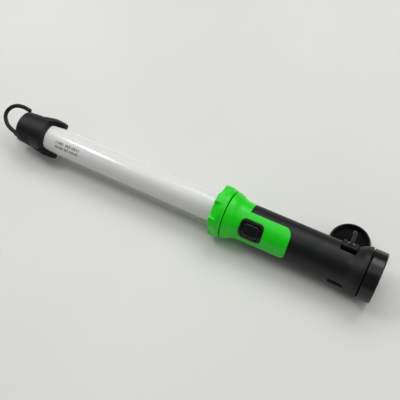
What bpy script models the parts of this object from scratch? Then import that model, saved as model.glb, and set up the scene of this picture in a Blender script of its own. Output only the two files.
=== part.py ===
"""Rechargeable LED inspection lamp: a diffuser tube on a round handle, with hook and foot.

The lamp lies along X, hook end towards -X, resting on the plane z = 0.  Lengths are metres.
Angles round the lamp are counted from its front (-Y) upwards, so 90 degrees is the top.
"""
import math

import bmesh
import bpy
from mathutils import Matrix, Vector

MM = 0.001
CLEAR = 0.3 * MM

# Where the lamp's own axis runs, and how far the tail seam is from the origin
AXIS_Y = -14.95 * MM
AXIS_Z = 26.89 * MM
SEAM_X = 210.01 * MM

# Round-about directions, in degrees
SWITCH_DEG = 36.0
SLOT_DEG = SWITCH_DEG + 90.0
VIEW_DEG = 58.0
HOOK_DEG = VIEW_DEG + 90.0

# Radii
TUBE_R = 15.0 * MM
TUBE_WALL = 1.6 * MM
CAP_R = 18.8 * MM
CAP_RING_R = 20.0 * MM
COLLAR_R = 25.9 * MM
TOOTH_R = 26.9 * MM
BELL_R = 25.1 * MM
GRIP_R = 19.9 * MM
GRIP_BORE_R = 16.4 * MM
FLARE_R = 25.9 * MM
TAIL_BORE_R = 21.6 * MM
SLOT_FLOOR = 16.9 * MM
CELL_R = 7.2 * MM

# Stations along the lamp, measured from the tail seam (minus is towards the hook)
CAP_END = -402.6 * MM
CAP_WALL = 4.6 * MM
RING_BACK = -381.0 * MM
RING_FRONT = -365.8 * MM
TONGUE_TIP = -352.6 * MM
TUBE_END = -389.0 * MM
TUBE_ROOT = -138.0 * MM
COLLAR_FRONT = -158.2 * MM
COLLAR_BACK = -144.7 * MM
BELL_BACK = -121.5 * MM
PANEL_TIP = -75.3 * MM
FLARE_START = -17.0 * MM
FLARE_TOP = -5.0 * MM
TAIL_END = 14.0 * MM
SLOT_MID = -22.3 * MM
SLOT_LEN = 16.0 * MM
SWITCH_MID = -114.6 * MM

SEGMENTS = 48
LED_COUNT = 18

parts = bpy.data.collections.new("led_light_tube")
tools = bpy.data.collections.new("cutters")
bpy.context.scene.collection.children.link(parts)
bpy.context.scene.collection.children.link(tools)
for leftover in list(bpy.data.objects):
    bpy.data.objects.remove(leftover)


def material(name, color, roughness, metallic=0.0, alpha=1.0):
    """A plain Principled material."""
    made = bpy.data.materials.new(name)
    made.use_nodes = True
    shader = made.node_tree.nodes["Principled BSDF"]
    shader.inputs["Base Color"].default_value = (*color, 1.0)
    shader.inputs["Roughness"].default_value = roughness
    shader.inputs["Metallic"].default_value = metallic
    shader.inputs["Alpha"].default_value = alpha
    made.diffuse_color = (*color, alpha)
    return made


BLACK = (0.03, 0.03, 0.032)
GREEN = (0.02, 0.5, 0.02)
STEEL = (0.6, 0.6, 0.62)
RUBBER = (0.02, 0.02, 0.02)


def place(obj, pivot=(0.0, 0.0, 0.0)):
    """Move an object built round the lamp's axis to its place, with its origin at pivot."""
    obj.data.transform(Matrix.Translation(-Vector(pivot)))
    obj.location = Vector((SEAM_X, AXIS_Y, AXIS_Z)) + Vector(pivot)


def finish(obj, name, mat, pivot=(0.0, 0.0, 0.0), sharp_deg=35.0):
    """Name an object, give it its material and smooth shading, and put it in the part."""
    obj.name = name
    obj.data.name = name
    obj.data.materials.clear()
    obj.data.materials.append(mat)
    obj.data.polygons.foreach_set("use_smooth", [True] * len(obj.data.polygons))
    obj.data.set_sharp_from_angle(angle=math.radians(sharp_deg))
    place(obj, pivot)
    parts.objects.link(obj)
    return obj


def from_bmesh(mesh_data, name="piece"):
    """Turn a bmesh into an object with outward faces, not linked to any collection yet."""
    bmesh.ops.recalc_face_normals(mesh_data, faces=mesh_data.faces)
    mesh = bpy.data.meshes.new(name)
    mesh_data.to_mesh(mesh)
    mesh_data.free()
    return bpy.data.objects.new(name, mesh)


def radial(deg):
    """Unit vector pointing outwards at an angle round the lamp."""
    turn = math.radians(deg)
    return Vector((0.0, -math.cos(turn), math.sin(turn)))


def turned(profile, segments=SEGMENTS, radius_at=None, phase=0.0):
    """Body of revolution about X from a closed (station, radius) outline.

    radius_at, if given, scales each ring's radius as a function of the angle.
    """
    mesh_data = bmesh.new()
    rings = []
    for step in range(segments):
        angle = phase + step * math.tau / segments
        ring = []
        for station, radius in profile:
            grown = radius if radius_at is None else radius_at(station, radius, angle)
            ring.append(mesh_data.verts.new((station, -grown * math.cos(angle), grown * math.sin(angle))))
        rings.append(ring)
    count = len(profile)
    for step in range(segments):
        here = rings[step]
        there = rings[(step + 1) % segments]
        for index in range(count):
            after = (index + 1) % count
            mesh_data.faces.new((here[index], here[after], there[after], there[index]))
    bmesh.ops.remove_doubles(mesh_data, verts=mesh_data.verts, dist=1e-6)
    loose = [face for face in mesh_data.faces if face.calc_area() < 1e-12]
    bmesh.ops.delete(mesh_data, geom=loose, context="FACES_ONLY")
    return from_bmesh(mesh_data)


def solid_turned(profile, segments=SEGMENTS):
    """Solid of revolution about X from an open (station, radius) outline, capped at both ends."""
    mesh_data = bmesh.new()
    rings = []
    for station, radius in profile:
        ring = []
        for step in range(segments):
            angle = step * math.tau / segments
            ring.append(mesh_data.verts.new((station, -radius * math.cos(angle), radius * math.sin(angle))))
        rings.append(ring)
    for here, there in zip(rings[:-1], rings[1:]):
        for step in range(segments):
            after = (step + 1) % segments
            mesh_data.faces.new((here[step], here[after], there[after], there[step]))
    mesh_data.faces.new(rings[0])
    mesh_data.faces.new(rings[-1])
    return from_bmesh(mesh_data)


def block(size, center, turn_deg=0.0, bevel=0.0, segments=2):
    """Box turned about X so that its local Z points outwards at turn_deg."""
    mesh_data = bmesh.new()
    bmesh.ops.create_cube(mesh_data, size=1.0)
    bmesh.ops.scale(mesh_data, vec=size, verts=mesh_data.verts)
    if bevel > 0.0:
        bmesh.ops.bevel(mesh_data, geom=list(mesh_data.edges), offset=bevel, segments=segments,
                        affect="EDGES", profile=0.5)
    bmesh.ops.translate(mesh_data, vec=center, verts=mesh_data.verts)
    spin = Matrix.Rotation(math.radians(90.0 - turn_deg), 3, "X")
    bmesh.ops.rotate(mesh_data, matrix=spin, verts=mesh_data.verts)
    return from_bmesh(mesh_data)


def rounded_outline(size, corner, steps=4):
    """Corner points of a rounded rectangle centred on the origin."""
    half_x = size[0] / 2 - corner
    half_y = size[1] / 2 - corner
    outline = []
    for quarter, (sign_x, sign_y) in enumerate(((1, 1), (-1, 1), (-1, -1), (1, -1))):
        for step in range(steps + 1):
            angle = (quarter + step / steps) * math.pi / 2
            outline.append((sign_x * half_x + corner * math.cos(angle),
                            sign_y * half_y + corner * math.sin(angle)))
    return outline


def plate(outline, low, high):
    """Flat outline in the X-Y plane, extruded from low to high along Z."""
    mesh_data = bmesh.new()
    lower = [mesh_data.verts.new((x, y, low)) for x, y in outline]
    upper = [mesh_data.verts.new((x, y, high)) for x, y in outline]
    count = len(outline)
    for index in range(count):
        after = (index + 1) % count
        mesh_data.faces.new((lower[index], lower[after], upper[after], upper[index]))
    mesh_data.faces.new(lower)
    mesh_data.faces.new(upper)
    return from_bmesh(mesh_data)


def swept(points, radius, sides=10):
    """Round bar along a list of points, with flat ends."""
    mesh_data = bmesh.new()
    points = [Vector(point) for point in points]
    rings = []
    side = None
    for index, point in enumerate(points):
        before = points[max(index - 1, 0)]
        after = points[min(index + 1, len(points) - 1)]
        along = (after - before).normalized()
        if side is None:
            side = along.orthogonal().normalized()
        side = (side - along * side.dot(along)).normalized()
        other = along.cross(side)
        ring = []
        for step in range(sides):
            angle = step * math.tau / sides
            spoke = math.cos(angle) * side + math.sin(angle) * other
            ring.append(mesh_data.verts.new(point + radius * spoke))
        rings.append(ring)
    for here, there in zip(rings[:-1], rings[1:]):
        for step in range(sides):
            after = (step + 1) % sides
            mesh_data.faces.new((here[step], here[after], there[after], there[step]))
    mesh_data.faces.new(rings[0])
    mesh_data.faces.new(rings[-1])
    return from_bmesh(mesh_data)


def smooth_path(points, per_span=4):
    """Catmull-Rom points through a list of guide points."""
    guide = [Vector(point) for point in points]
    guide = [2 * guide[0] - guide[1]] + guide + [2 * guide[-1] - guide[-2]]
    path = []
    for index in range(1, len(guide) - 2):
        for step in range(per_span):
            t = step / per_span
            a, b, c, d = guide[index - 1:index + 3]
            path.append(0.5 * ((2 * b) + (c - a) * t + (2 * a - 5 * b + 4 * c - d) * t ** 2
                               + (3 * b - a - 3 * c + d) * t ** 3))
    path.append(guide[-2])
    return path


def combine(target, others, operation):
    """Apply an exact boolean between target and each of the others, then drop the others."""
    tools.objects.link(target)
    for other in others:
        tools.objects.link(other)
        step = target.modifiers.new("step", "BOOLEAN")
        step.operation = operation
        step.solver = "EXACT"
        step.object = other
    graph = bpy.context.evaluated_depsgraph_get()
    result = bpy.data.meshes.new_from_object(target.evaluated_get(graph), depsgraph=graph)
    for used in [target, *others]:
        bpy.data.objects.remove(used)
    mesh_data = bmesh.new()
    mesh_data.from_mesh(result)
    bmesh.ops.remove_doubles(mesh_data, verts=mesh_data.verts, dist=2e-6)
    bmesh.ops.dissolve_degenerate(mesh_data, edges=mesh_data.edges, dist=2e-6)
    return from_bmesh(mesh_data)


def cut(target, *others):
    return combine(target, others, "DIFFERENCE")


def join(target, *others):
    return combine(target, others, "UNION")


def stand(obj, station, deg):
    """Turn an object built in the X-Y plane so that its Z points outwards at deg."""
    obj.data.transform(Matrix.Rotation(math.radians(90.0 - deg), 4, "X"))
    obj.data.transform(Matrix.Translation((station, 0.0, 0.0)))
    return obj


def prism(size, corner, low, high, station, deg, steps=4):
    """Rounded plate standing outwards at an angle, centred on a station."""
    return stand(plate(rounded_outline(size, corner, steps), low, high), station, deg)


def aim(obj, direction, center):
    """Turn an object built along X to run along direction, and move its origin to center."""
    turn = Vector((1.0, 0.0, 0.0)).rotation_difference(Vector(direction)).to_matrix().to_4x4()
    obj.data.transform(Matrix.Translation(Vector(center)) @ turn)
    return obj


def rod(radius, start, end, sides=16):
    """Plain round rod between two points."""
    start = Vector(start)
    span = Vector(end) - start
    return aim(solid_turned([(0.0, radius), (span.length, radius)], sides), span.normalized(), start)


def around(station, offset, height, deg):
    """Point at a station, offset sideways and raised along the outward direction at deg."""
    up = radial(deg)
    side = Vector((0.0, math.sin(math.radians(deg)), math.cos(math.radians(deg))))
    return Vector((station, 0.0, 0.0)) + offset * side + height * up


# ---------------------------------------------------------------- end cap and tube

TONGUE_DEG = 144.5
TONGUE_HALF = 7.6 * MM
TONGUE_START = -379.3 * MM
TONGUE_TAPER = -368.0 * MM
RIVET_R = 2.8 * MM
SWIVEL_R = 14.9 * MM
SWIVEL_SINK = 1.6 * MM


def tongue_outline():
    """Plan of a tongue: square at its back, then half an ellipse to its tip."""
    outline = [(TONGUE_START, -TONGUE_HALF)]
    for step in range(13):
        turn = (step / 12 - 0.5) * math.pi
        outline.append((TONGUE_TAPER + (TONGUE_TIP + 1.0 * MM - TONGUE_TAPER) * math.cos(turn),
                        TONGUE_HALF * math.sin(turn)))
    outline.append((TONGUE_START, TONGUE_HALF))
    return outline


def tongues():
    """The two opposite tongues, cut out of a sleeve that follows the ring and the tube."""
    bands = []
    for deg in (TONGUE_DEG, TONGUE_DEG + 180.0):
        sleeve = turned([(TONGUE_START, CAP_R - 0.6 * MM), (TONGUE_START, 20.0 * MM),
                         (-371.0 * MM, 21.2 * MM), (-366.0 * MM, 21.6 * MM),
                         (-357.0 * MM, 20.9 * MM), (TONGUE_TIP - 2.0 * MM, 20.3 * MM),
                         (TONGUE_TIP - 0.8 * MM, 19.2 * MM), (TONGUE_TIP, 17.2 * MM),
                         (TONGUE_TIP, TUBE_R + CLEAR), (RING_FRONT - 2.0 * MM, TUBE_R + CLEAR)], 40)
        bands.append(combine(sleeve, [stand(plate(tongue_outline(), 4 * MM, 30 * MM), 0.0, deg)], "INTERSECT"))
    return bands


def end_cap():
    """Cap over the tube's far end: grooves, flared ring and two tongues over the tube."""
    outline = [(CAP_END + SWIVEL_SINK, RIVET_R + CLEAR), (CAP_END + SWIVEL_SINK, SWIVEL_R + CLEAR),
               (CAP_END, SWIVEL_R + CLEAR), (CAP_END, 16.3 * MM), (CAP_END + 0.6 * MM, 17.0 * MM),
               (CAP_END + 1.4 * MM, 17.3 * MM)]
    for groove in range(3):
        start = CAP_END + (3.6 + 2.6 * groove) * MM
        lip = (17.45 + 0.22 * groove) * MM
        outline += [(start, lip), (start + 0.35 * MM, lip - 0.55 * MM),
                    (start + 0.95 * MM, lip - 0.55 * MM), (start + 1.3 * MM, lip + 0.08 * MM)]
    outline += [(CAP_END + 14.0 * MM, 18.35 * MM), (RING_BACK, CAP_R), (-374.0 * MM, 19.5 * MM),
                (-369.7 * MM, CAP_RING_R), (-369.0 * MM, CAP_RING_R - 0.15 * MM),
                (RING_FRONT - 0.4 * MM, 16.5 * MM), (RING_FRONT, 15.9 * MM), (RING_FRONT, TUBE_R + CLEAR),
                (TUBE_END - 2.5 * MM, TUBE_R + CLEAR), (TUBE_END - 2.5 * MM, 13.2 * MM),
                (CAP_END + CAP_WALL, 13.2 * MM), (CAP_END + CAP_WALL, RIVET_R + CLEAR)]
    return finish(join(turned(outline, 40), *tongues()), "end_cap", MATS["black_satin"])


def tube():
    outline = [(TUBE_END, TUBE_R), (TUBE_ROOT, TUBE_R), (TUBE_ROOT, TUBE_R - TUBE_WALL),
               (TUBE_END, TUBE_R - TUBE_WALL)]
    return finish(turned(outline), "diffuser_tube", MATS["diffuser"])


def flat_ring(name, start, end, inner, outer, mat, segments=32):
    """Plain washer or gasket round the lamp's axis."""
    outline = [(start, inner), (start, outer), (end, outer), (end, inner)]
    return finish(turned(outline, segments), name, mat)


def tube_seals():
    flat_ring("seal_cap_end", TUBE_END - 2.2 * MM, TUBE_END - CLEAR, 13.6 * MM, 15.0 * MM, MATS["rubber"])
    flat_ring("seal_tube_root", TUBE_ROOT + CLEAR, TUBE_ROOT + 2.2 * MM, 13.6 * MM, 15.0 * MM, MATS["rubber"])


def bar_holder():
    """Plug inside the cap that carries the far end of the LED bar in a slot."""
    start = CAP_END + 8.0 * MM
    end = TUBE_END + 8.0 * MM
    plug = solid_turned([(start, 11.6 * MM), (start + 1.0 * MM, 12.6 * MM), (end, 12.6 * MM)], 32)
    slot = block((12 * MM, 18.6 * MM, 9.6 * MM), (end, 0.0, -1.6 * MM), SWITCH_DEG)
    return finish(cut(plug, slot), "bar_holder", MATS["white_plastic"])


def led_bar():
    """Aluminium bar with a cooling rib, running the length of the tube."""
    start = TUBE_END + 3.0 * MM
    length = 242.0 * MM
    middle = start + length / 2
    plate = block((length, 18.0 * MM, 2.6 * MM), (middle, 0.0, 0.0), SWITCH_DEG)
    rib = block((length, 3.0 * MM, 5.0 * MM), (middle, 0.0, -3.4 * MM), SWITCH_DEG)
    return finish(join(plate, rib), "led_bar", MATS["aluminium"])


def led_board():
    """Printed board with its row of LEDs, facing the same way as the switch."""
    start = TUBE_END + 9.0 * MM
    length = 230.0 * MM
    middle = start + length / 2
    board = block((length, 14.0 * MM, 1.2 * MM), (middle, 0.0, 2.2 * MM), SWITCH_DEG)
    leds = []
    for index in range(LED_COUNT):
        station = start + length * (index + 0.5) / LED_COUNT
        leds.append(block((5.0 * MM, 5.0 * MM, 1.5 * MM), (station, 0.0, 3.3 * MM), SWITCH_DEG))
    return finish(join(board, *leds), "led_board", MATS["board"])


# ---------------------------------------------------------------- collar and handle shells


TOOTH_DEG = 84.0
TOOTH_COUNT = 6
SCALLOP_DEPTH = 4.4 * MM
SCALLOP_END = -148.4 * MM


def collar_radius(station, radius, angle):
    """Radius of the screw collar, whose scallops are deep at its front and die out towards the seam."""
    if radius < 20 * MM:
        return radius
    turn = (math.degrees(angle) - TOOTH_DEG) % (360.0 / TOOTH_COUNT)
    off_valley = abs(turn - 180.0 / TOOTH_COUNT)
    half_scallop = 20.0
    fade = min(1.0, max(0.0, (SCALLOP_END - station) / (SCALLOP_END - COLLAR_FRONT)))
    dip = math.sqrt(1.0 - (off_valley / half_scallop) ** 2) if off_valley < half_scallop else 0.0
    return radius - SCALLOP_DEPTH * fade * dip


def collar():
    """Screw collar with six teeth."""
    outline = [(COLLAR_FRONT, TUBE_R + CLEAR), (COLLAR_FRONT, 25.8 * MM), (COLLAR_FRONT + 0.5 * MM, 26.5 * MM),
               (COLLAR_FRONT + 1.5 * MM, TOOTH_R), (-153.0 * MM, TOOTH_R), (-149.6 * MM, 26.6 * MM),
               (SCALLOP_END, 26.2 * MM), (COLLAR_BACK - 1.2 * MM, COLLAR_R - 0.1 * MM),
               (COLLAR_BACK - 0.35 * MM, 25.2 * MM), (COLLAR_BACK - 0.35 * MM, TUBE_R + CLEAR)]
    ring = turned(outline, 90, radius_at=collar_radius)
    return finish(ring, "collar_ring", MATS["green"])


PANEL_DEG = 33.0
PANEL_WIDTH = 34.2 * MM
PANEL_BULGE = 1.2 * MM
SWITCH_SIZE = (24.4 * MM, 21.2 * MM)


def panel_prism(grow, low):
    """Plan shape of the front panel, standing outwards from the handle; its tip is a shallow arc."""
    start = BELL_BACK - 3.0 * MM
    length = PANEL_TIP - start + grow
    half = PANEL_WIDTH / 2 + grow
    outline = []
    for along, aside in rounded_outline((length, 2 * half), 6.0 * MM, 6):
        outline.append((along - (PANEL_BULGE * (aside / half) ** 2 if along > 0 else 0.0), aside))
    return stand(plate(outline, low, 40 * MM), start + length / 2, PANEL_DEG)


def switch_prism(grow, low=8 * MM):
    """Plan shape of the switch bezel."""
    return prism((SWITCH_SIZE[0] + 2 * grow, SWITCH_SIZE[1] + 2 * grow), 5.2 * MM, low, 40 * MM,
                 SWITCH_MID, SWITCH_DEG, 5)


def front_shell():
    """Green bell behind the collar, with the panel that carries the switch."""
    bell = turned([(COLLAR_BACK + 0.35 * MM, TUBE_R + CLEAR), (COLLAR_BACK + 0.35 * MM, 24.5 * MM),
                   (COLLAR_BACK + 1.0 * MM, BELL_R), (-141.5 * MM, 24.8 * MM), (-138.6 * MM, 24.0 * MM),
                   (-135.9 * MM, 22.7 * MM), (-133.0 * MM, 21.35 * MM), (-129.4 * MM, 20.35 * MM),
                   (-126.0 * MM, 20.0 * MM), (BELL_BACK - CLEAR, GRIP_R + 0.05 * MM),
                   (BELL_BACK - CLEAR, GRIP_BORE_R), (TUBE_ROOT + 5.0 * MM, GRIP_BORE_R),
                   (TUBE_ROOT + 3.0 * MM, 12.0 * MM), (TUBE_ROOT + 2.5 * MM, 12.0 * MM),
                   (TUBE_ROOT + 2.5 * MM, TUBE_R + CLEAR)])
    skin = turned([(BELL_BACK - 3.0 * MM, 18.4 * MM), (BELL_BACK - 3.0 * MM, GRIP_R - 0.4 * MM),
                   (BELL_BACK - 1.0 * MM, 20.2 * MM), (PANEL_TIP + 5 * MM, 20.2 * MM),
                   (PANEL_TIP + 5 * MM, 18.4 * MM)])
    panel = combine(skin, [panel_prism(0.0, 0.5 * MM)], "INTERSECT")
    shell = cut(join(bell, panel), switch_prism(CLEAR))
    return finish(shell, "front_shell", MATS["green"])


CASE_SCREW_DEG = SWITCH_DEG + 180.0
CASE_SCREWS = (-108.0 * MM, -44.0 * MM)


def slot_prism(deg, grow, low):
    return prism((SLOT_LEN + 2 * grow, 20.8 * MM + 2 * grow), 1.0 * MM, low, 40 * MM, SLOT_MID, deg, 3)


def handle_shell():
    """Black grip with its flared tail, two opposite slots and screw pockets."""
    band = FLARE_R + 0.2 * MM
    outline = [(BELL_BACK, GRIP_BORE_R), (BELL_BACK, GRIP_R), (FLARE_START - 2.0 * MM, GRIP_R),
               (FLARE_START + 0.6 * MM, 20.3 * MM), (FLARE_START + 2.6 * MM, 21.1 * MM),
               (FLARE_TOP - 2.6 * MM, 24.6 * MM), (FLARE_TOP - 0.6 * MM, 25.5 * MM), (FLARE_TOP, 25.7 * MM),
               (-3.9 * MM, 25.75 * MM), (-3.7 * MM, band), (-1.1 * MM, band), (-0.6 * MM, 25.4 * MM),
               (-0.6 * MM, TAIL_BORE_R + CLEAR), (-7.4 * MM, TAIL_BORE_R + CLEAR), (-11.4 * MM, GRIP_BORE_R)]
    shell = turned(outline)
    recess = combine(turned([(BELL_BACK - 4 * MM, 18.1 * MM), (BELL_BACK - 4 * MM, 30 * MM),
                             (PANEL_TIP + 9 * MM, 30 * MM), (PANEL_TIP + 9 * MM, 18.1 * MM)]),
                     [panel_prism(CLEAR, 0.5 * MM)], "INTERSECT")
    tools_used = [recess, switch_prism(CLEAR)]
    for deg in (SLOT_DEG, SLOT_DEG + 180.0):
        tools_used.append(slot_prism(deg, 0.0, SLOT_FLOOR))
    for station in CASE_SCREWS:
        tools_used.append(rod(3.5 * MM, around(station, 0, 17.6 * MM, CASE_SCREW_DEG),
                              around(station, 0, 24 * MM, CASE_SCREW_DEG)))
    return finish(cut(shell, *tools_used), "handle_shell", MATS["black_satin"])


def case_screws():
    """Slotted round heads in the pockets at the back of the grip."""
    for index, station in enumerate(CASE_SCREWS):
        head = rod(3.1 * MM, around(station, 0, 17.9 * MM, CASE_SCREW_DEG),
                   around(station, 0, 19.2 * MM, CASE_SCREW_DEG))
        slot = block((4.6 * MM, 0.9 * MM, 1.4 * MM), (station, 0.0, 19.2 * MM), CASE_SCREW_DEG)
        finish(cut(head, slot), f"case_screw_{index + 1}", MATS["steel"])


def switch():
    """Bezel following the grip, the pressed button inside it and the switch body below."""
    skin = turned([(-130 * MM, 17.0 * MM), (-130 * MM, 20.95 * MM),
                   (-100 * MM, 20.95 * MM), (-100 * MM, 17.0 * MM)], 72)
    frame = combine(skin, [switch_prism(0.0)], "INTERSECT")
    window = prism((18.4 * MM, 15.2 * MM), 3.8 * MM, 5 * MM, 40 * MM, SWITCH_MID, SWITCH_DEG, 5)
    finish(cut(frame, window), "switch_bezel", MATS["black_gloss"])

    pad_size = (17.6 * MM, 14.4 * MM)
    crown = turned([(-130 * MM, 17.9 * MM), (-130 * MM, 21.7 * MM),
                    (-100 * MM, 21.7 * MM), (-100 * MM, 17.9 * MM)], 72)
    pad = combine(crown, [prism(pad_size, 3.4 * MM, 5 * MM, 40 * MM, SWITCH_MID, SWITCH_DEG, 5)], "INTERSECT")
    stem = prism((6 * MM, 6 * MM), 1 * MM, 16.0 * MM, 18.6 * MM, SWITCH_MID, SWITCH_DEG, 2)
    finish(join(pad, stem), "switch_button", MATS["black_gloss"],
           pivot=around(SWITCH_MID, 0, 18 * MM, SWITCH_DEG))

    body = block((12 * MM, 12 * MM, 5.5 * MM), (SWITCH_MID, 0.0, 11.6 * MM), SWITCH_DEG, 0.4 * MM, 1)
    finish(body, "switch_body", MATS["black_satin"])


# ---------------------------------------------------------------- inside the grip

CELL_START = -96.0 * MM
CELL_LEN = 50.0 * MM
CELL_RING = CELL_R / math.sin(math.radians(60.0)) + 0.25 * MM


def cells():
    """Three round cells in a triangle, each with its raised contact."""
    for index in range(3):
        place_deg = SWITCH_DEG + 60.0 + 120.0 * index
        cell = solid_turned([(CELL_START, CELL_R - 0.5 * MM), (CELL_START + 0.5 * MM, CELL_R),
                             (CELL_START + CELL_LEN - 0.6 * MM, CELL_R),
                             (CELL_START + CELL_LEN, CELL_R - 0.6 * MM),
                             (CELL_START + CELL_LEN, 2.7 * MM),
                             (CELL_START + CELL_LEN + 1.2 * MM, 2.6 * MM)], 24)
        cell.data.transform(Matrix.Translation(radial(place_deg) * CELL_RING))
        finish(cell, f"battery_cell_{index + 1}", MATS["cell_wrap"])


def cell_fittings():
    """Tray in front of the cells and contact plate behind them."""
    tray = solid_turned([(CELL_START - 3.4 * MM, 14.9 * MM), (CELL_START - 2.8 * MM, 15.9 * MM),
                         (CELL_START - CLEAR, 15.9 * MM)], 32)
    finish(tray, "cell_tray", MATS["white_plastic"])
    back = CELL_START + CELL_LEN + 1.2 * MM
    flat_ring("contact_plate", back + CLEAR, back + 1.1 * MM, 2.0 * MM, 15.6 * MM, MATS["brass"])


def driver_board():
    """Charging and driver board in the tail, with its larger components."""
    middle = -25.0 * MM
    board = block((34 * MM, 24 * MM, 1.6 * MM), (middle, 0.0, 0.0), SWITCH_DEG)
    tall = [block((9 * MM, 9 * MM, 5 * MM), (middle - 9 * MM, 4 * MM, 2.8 * MM), SWITCH_DEG, 0.6 * MM, 1),
            block((6 * MM, 8 * MM, 3 * MM), (middle + 4 * MM, -5 * MM, 1.8 * MM), SWITCH_DEG),
            block((5 * MM, 5 * MM, 2 * MM), (middle + 11 * MM, 5 * MM, 1.4 * MM), SWITCH_DEG)]
    finish(join(board, *tall), "driver_board", MATS["board"])


# ---------------------------------------------------------------- tail


TAIL_FLOOR = TAIL_END - 2.1 * MM


def tail_cap():
    """Cap that closes the tail: spigot inside the grip, sunk end face, and a hole for the socket."""
    end = TAIL_END
    outline = [(0.6 * MM, TAIL_BORE_R), (0.6 * MM, 25.2 * MM), (1.2 * MM, FLARE_R),
               (end - 1.2 * MM, FLARE_R - 0.1 * MM),
               (end - 0.4 * MM, 25.5 * MM), (end, 24.8 * MM), (end, 22.6 * MM), (end - 0.5 * MM, 21.9 * MM),
               (TAIL_FLOOR, 21.4 * MM), (TAIL_FLOOR, 6.3 * MM), (TAIL_FLOOR - 2.4 * MM, 6.3 * MM),
               (TAIL_FLOOR - 2.4 * MM, 19.4 * MM), (-6.8 * MM, 19.4 * MM), (-6.8 * MM, TAIL_BORE_R)]
    finish(turned(outline), "tail_cap", MATS["black_gloss"])
    flat_ring("tail_seal", -0.3 * MM, 0.3 * MM, TAIL_BORE_R + CLEAR, 24.4 * MM, MATS["rubber"], 36)


def charge_jack():
    """Round low-voltage socket in the end face, with its centre pin."""
    end = TAIL_FLOOR
    body = turned([(end - 13 * MM, 1.3 * MM), (end - 13 * MM, 5.9 * MM), (end - 0.6 * MM, 5.9 * MM),
                   (end - 0.9 * MM, 3.1 * MM), (end - 10.5 * MM, 3.1 * MM), (end - 10.5 * MM, 1.3 * MM)], 24)
    finish(body, "charge_socket", MATS["black_satin"])
    pin = solid_turned([(end - 15 * MM, 1.0 * MM), (end - 7.2 * MM, 1.0 * MM), (end - 6.6 * MM, 0.6 * MM)], 12)
    finish(pin, "charge_pin", MATS["brass"])


FLAP_HINGE_H = 9.2 * MM


def charge_flap():
    """Rubber flap over the socket, hinged on the switch side, with a small finger tab."""
    base = TAIL_FLOOR + CLEAR
    thick = 1.2 * MM
    center = base + 0.65 * MM
    disc = solid_turned([(base, 7.4 * MM), (base + 0.9 * MM, 7.4 * MM), (base + thick, 6.9 * MM)], 32)
    strap = block((thick, 6 * MM, 5 * MM), (center, 0.0, 7.4 * MM), SWITCH_DEG)
    tab = block((thick, 5 * MM, 4 * MM), (center, 0.0, -8.0 * MM), SWITCH_DEG, 0.3 * MM, 1)
    barrel = rod(0.65 * MM, around(center, -3 * MM, FLAP_HINGE_H, SWITCH_DEG),
                 around(center, 3 * MM, FLAP_HINGE_H, SWITCH_DEG), 12)
    finish(join(disc, strap, tab, barrel), "charge_flap", MATS["rubber"],
           pivot=around(center, 0, FLAP_HINGE_H, SWITCH_DEG))


# ---------------------------------------------------------------- magnetic foot

HINGE_SIDE = 7.0 * MM
HINGE_UP = 19.25 * MM
KNUCKLE_R = 2.0 * MM
DISH_CENTER = Vector((SLOT_MID - 2.9 * MM, 34.6 * MM, -14.0 * MM))
DISH_AXIS = radial(80.0)
DISH_R = 21.4 * MM
DISH_DEPTH = 9.0 * MM


def foot_hinge_point(station):
    return around(station, HINGE_SIDE, HINGE_UP, SLOT_DEG)


def knuckle(start, end, radius=KNUCKLE_R):
    return rod(radius, foot_hinge_point(start), foot_hinge_point(end), 20)


def slot_base(deg):
    """Block that fills the outer part of a slot, leaving a finger recess beside it."""
    return block((SLOT_LEN - 2 * CLEAR, 14.6 * MM, 2.8 * MM), (SLOT_MID, 2.6 * MM, 18.8 * MM), deg, 0.4 * MM, 1)


def foot_block():
    """Hinge block in the upper slot: two knuckles and a ridge, with a gap for the arm."""
    half = SLOT_LEN / 2 - CLEAR
    gap = 2.5 * MM
    ridge = rod(0.9 * MM, around(SLOT_MID - half, 0.4 * MM, 20.0 * MM, SLOT_DEG),
                around(SLOT_MID + half, 0.4 * MM, 20.0 * MM, SLOT_DEG), 12)
    body = join(slot_base(SLOT_DEG), ridge, knuckle(SLOT_MID - half, SLOT_MID + half))
    pocket = block((2 * gap, 9.4 * MM, 14 * MM), (SLOT_MID, 6.9 * MM, 20.0 * MM), SLOT_DEG)
    bore = knuckle(SLOT_MID - 2 * half, SLOT_MID + 2 * half, 1.15 * MM)
    finish(cut(body, pocket, bore), "foot_block", MATS["black_satin"])
    pin = knuckle(SLOT_MID - half + 0.4 * MM, SLOT_MID + half - 0.4 * MM, 0.95 * MM)
    finish(pin, "foot_hinge_pin", MATS["steel"])


def slot_cover():
    """Plain ridged block in the lower slot."""
    half = SLOT_LEN / 2 - CLEAR
    ridges = [rod(1.3 * MM, around(SLOT_MID - half, side, 19.9 * MM, SLOT_DEG + 180.0),
                  around(SLOT_MID + half, side, 19.9 * MM, SLOT_DEG + 180.0), 12)
              for side in (0.2 * MM, 6.4 * MM)]
    finish(join(slot_base(SLOT_DEG + 180.0), *ridges), "slot_cover", MATS["black_satin"])


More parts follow.
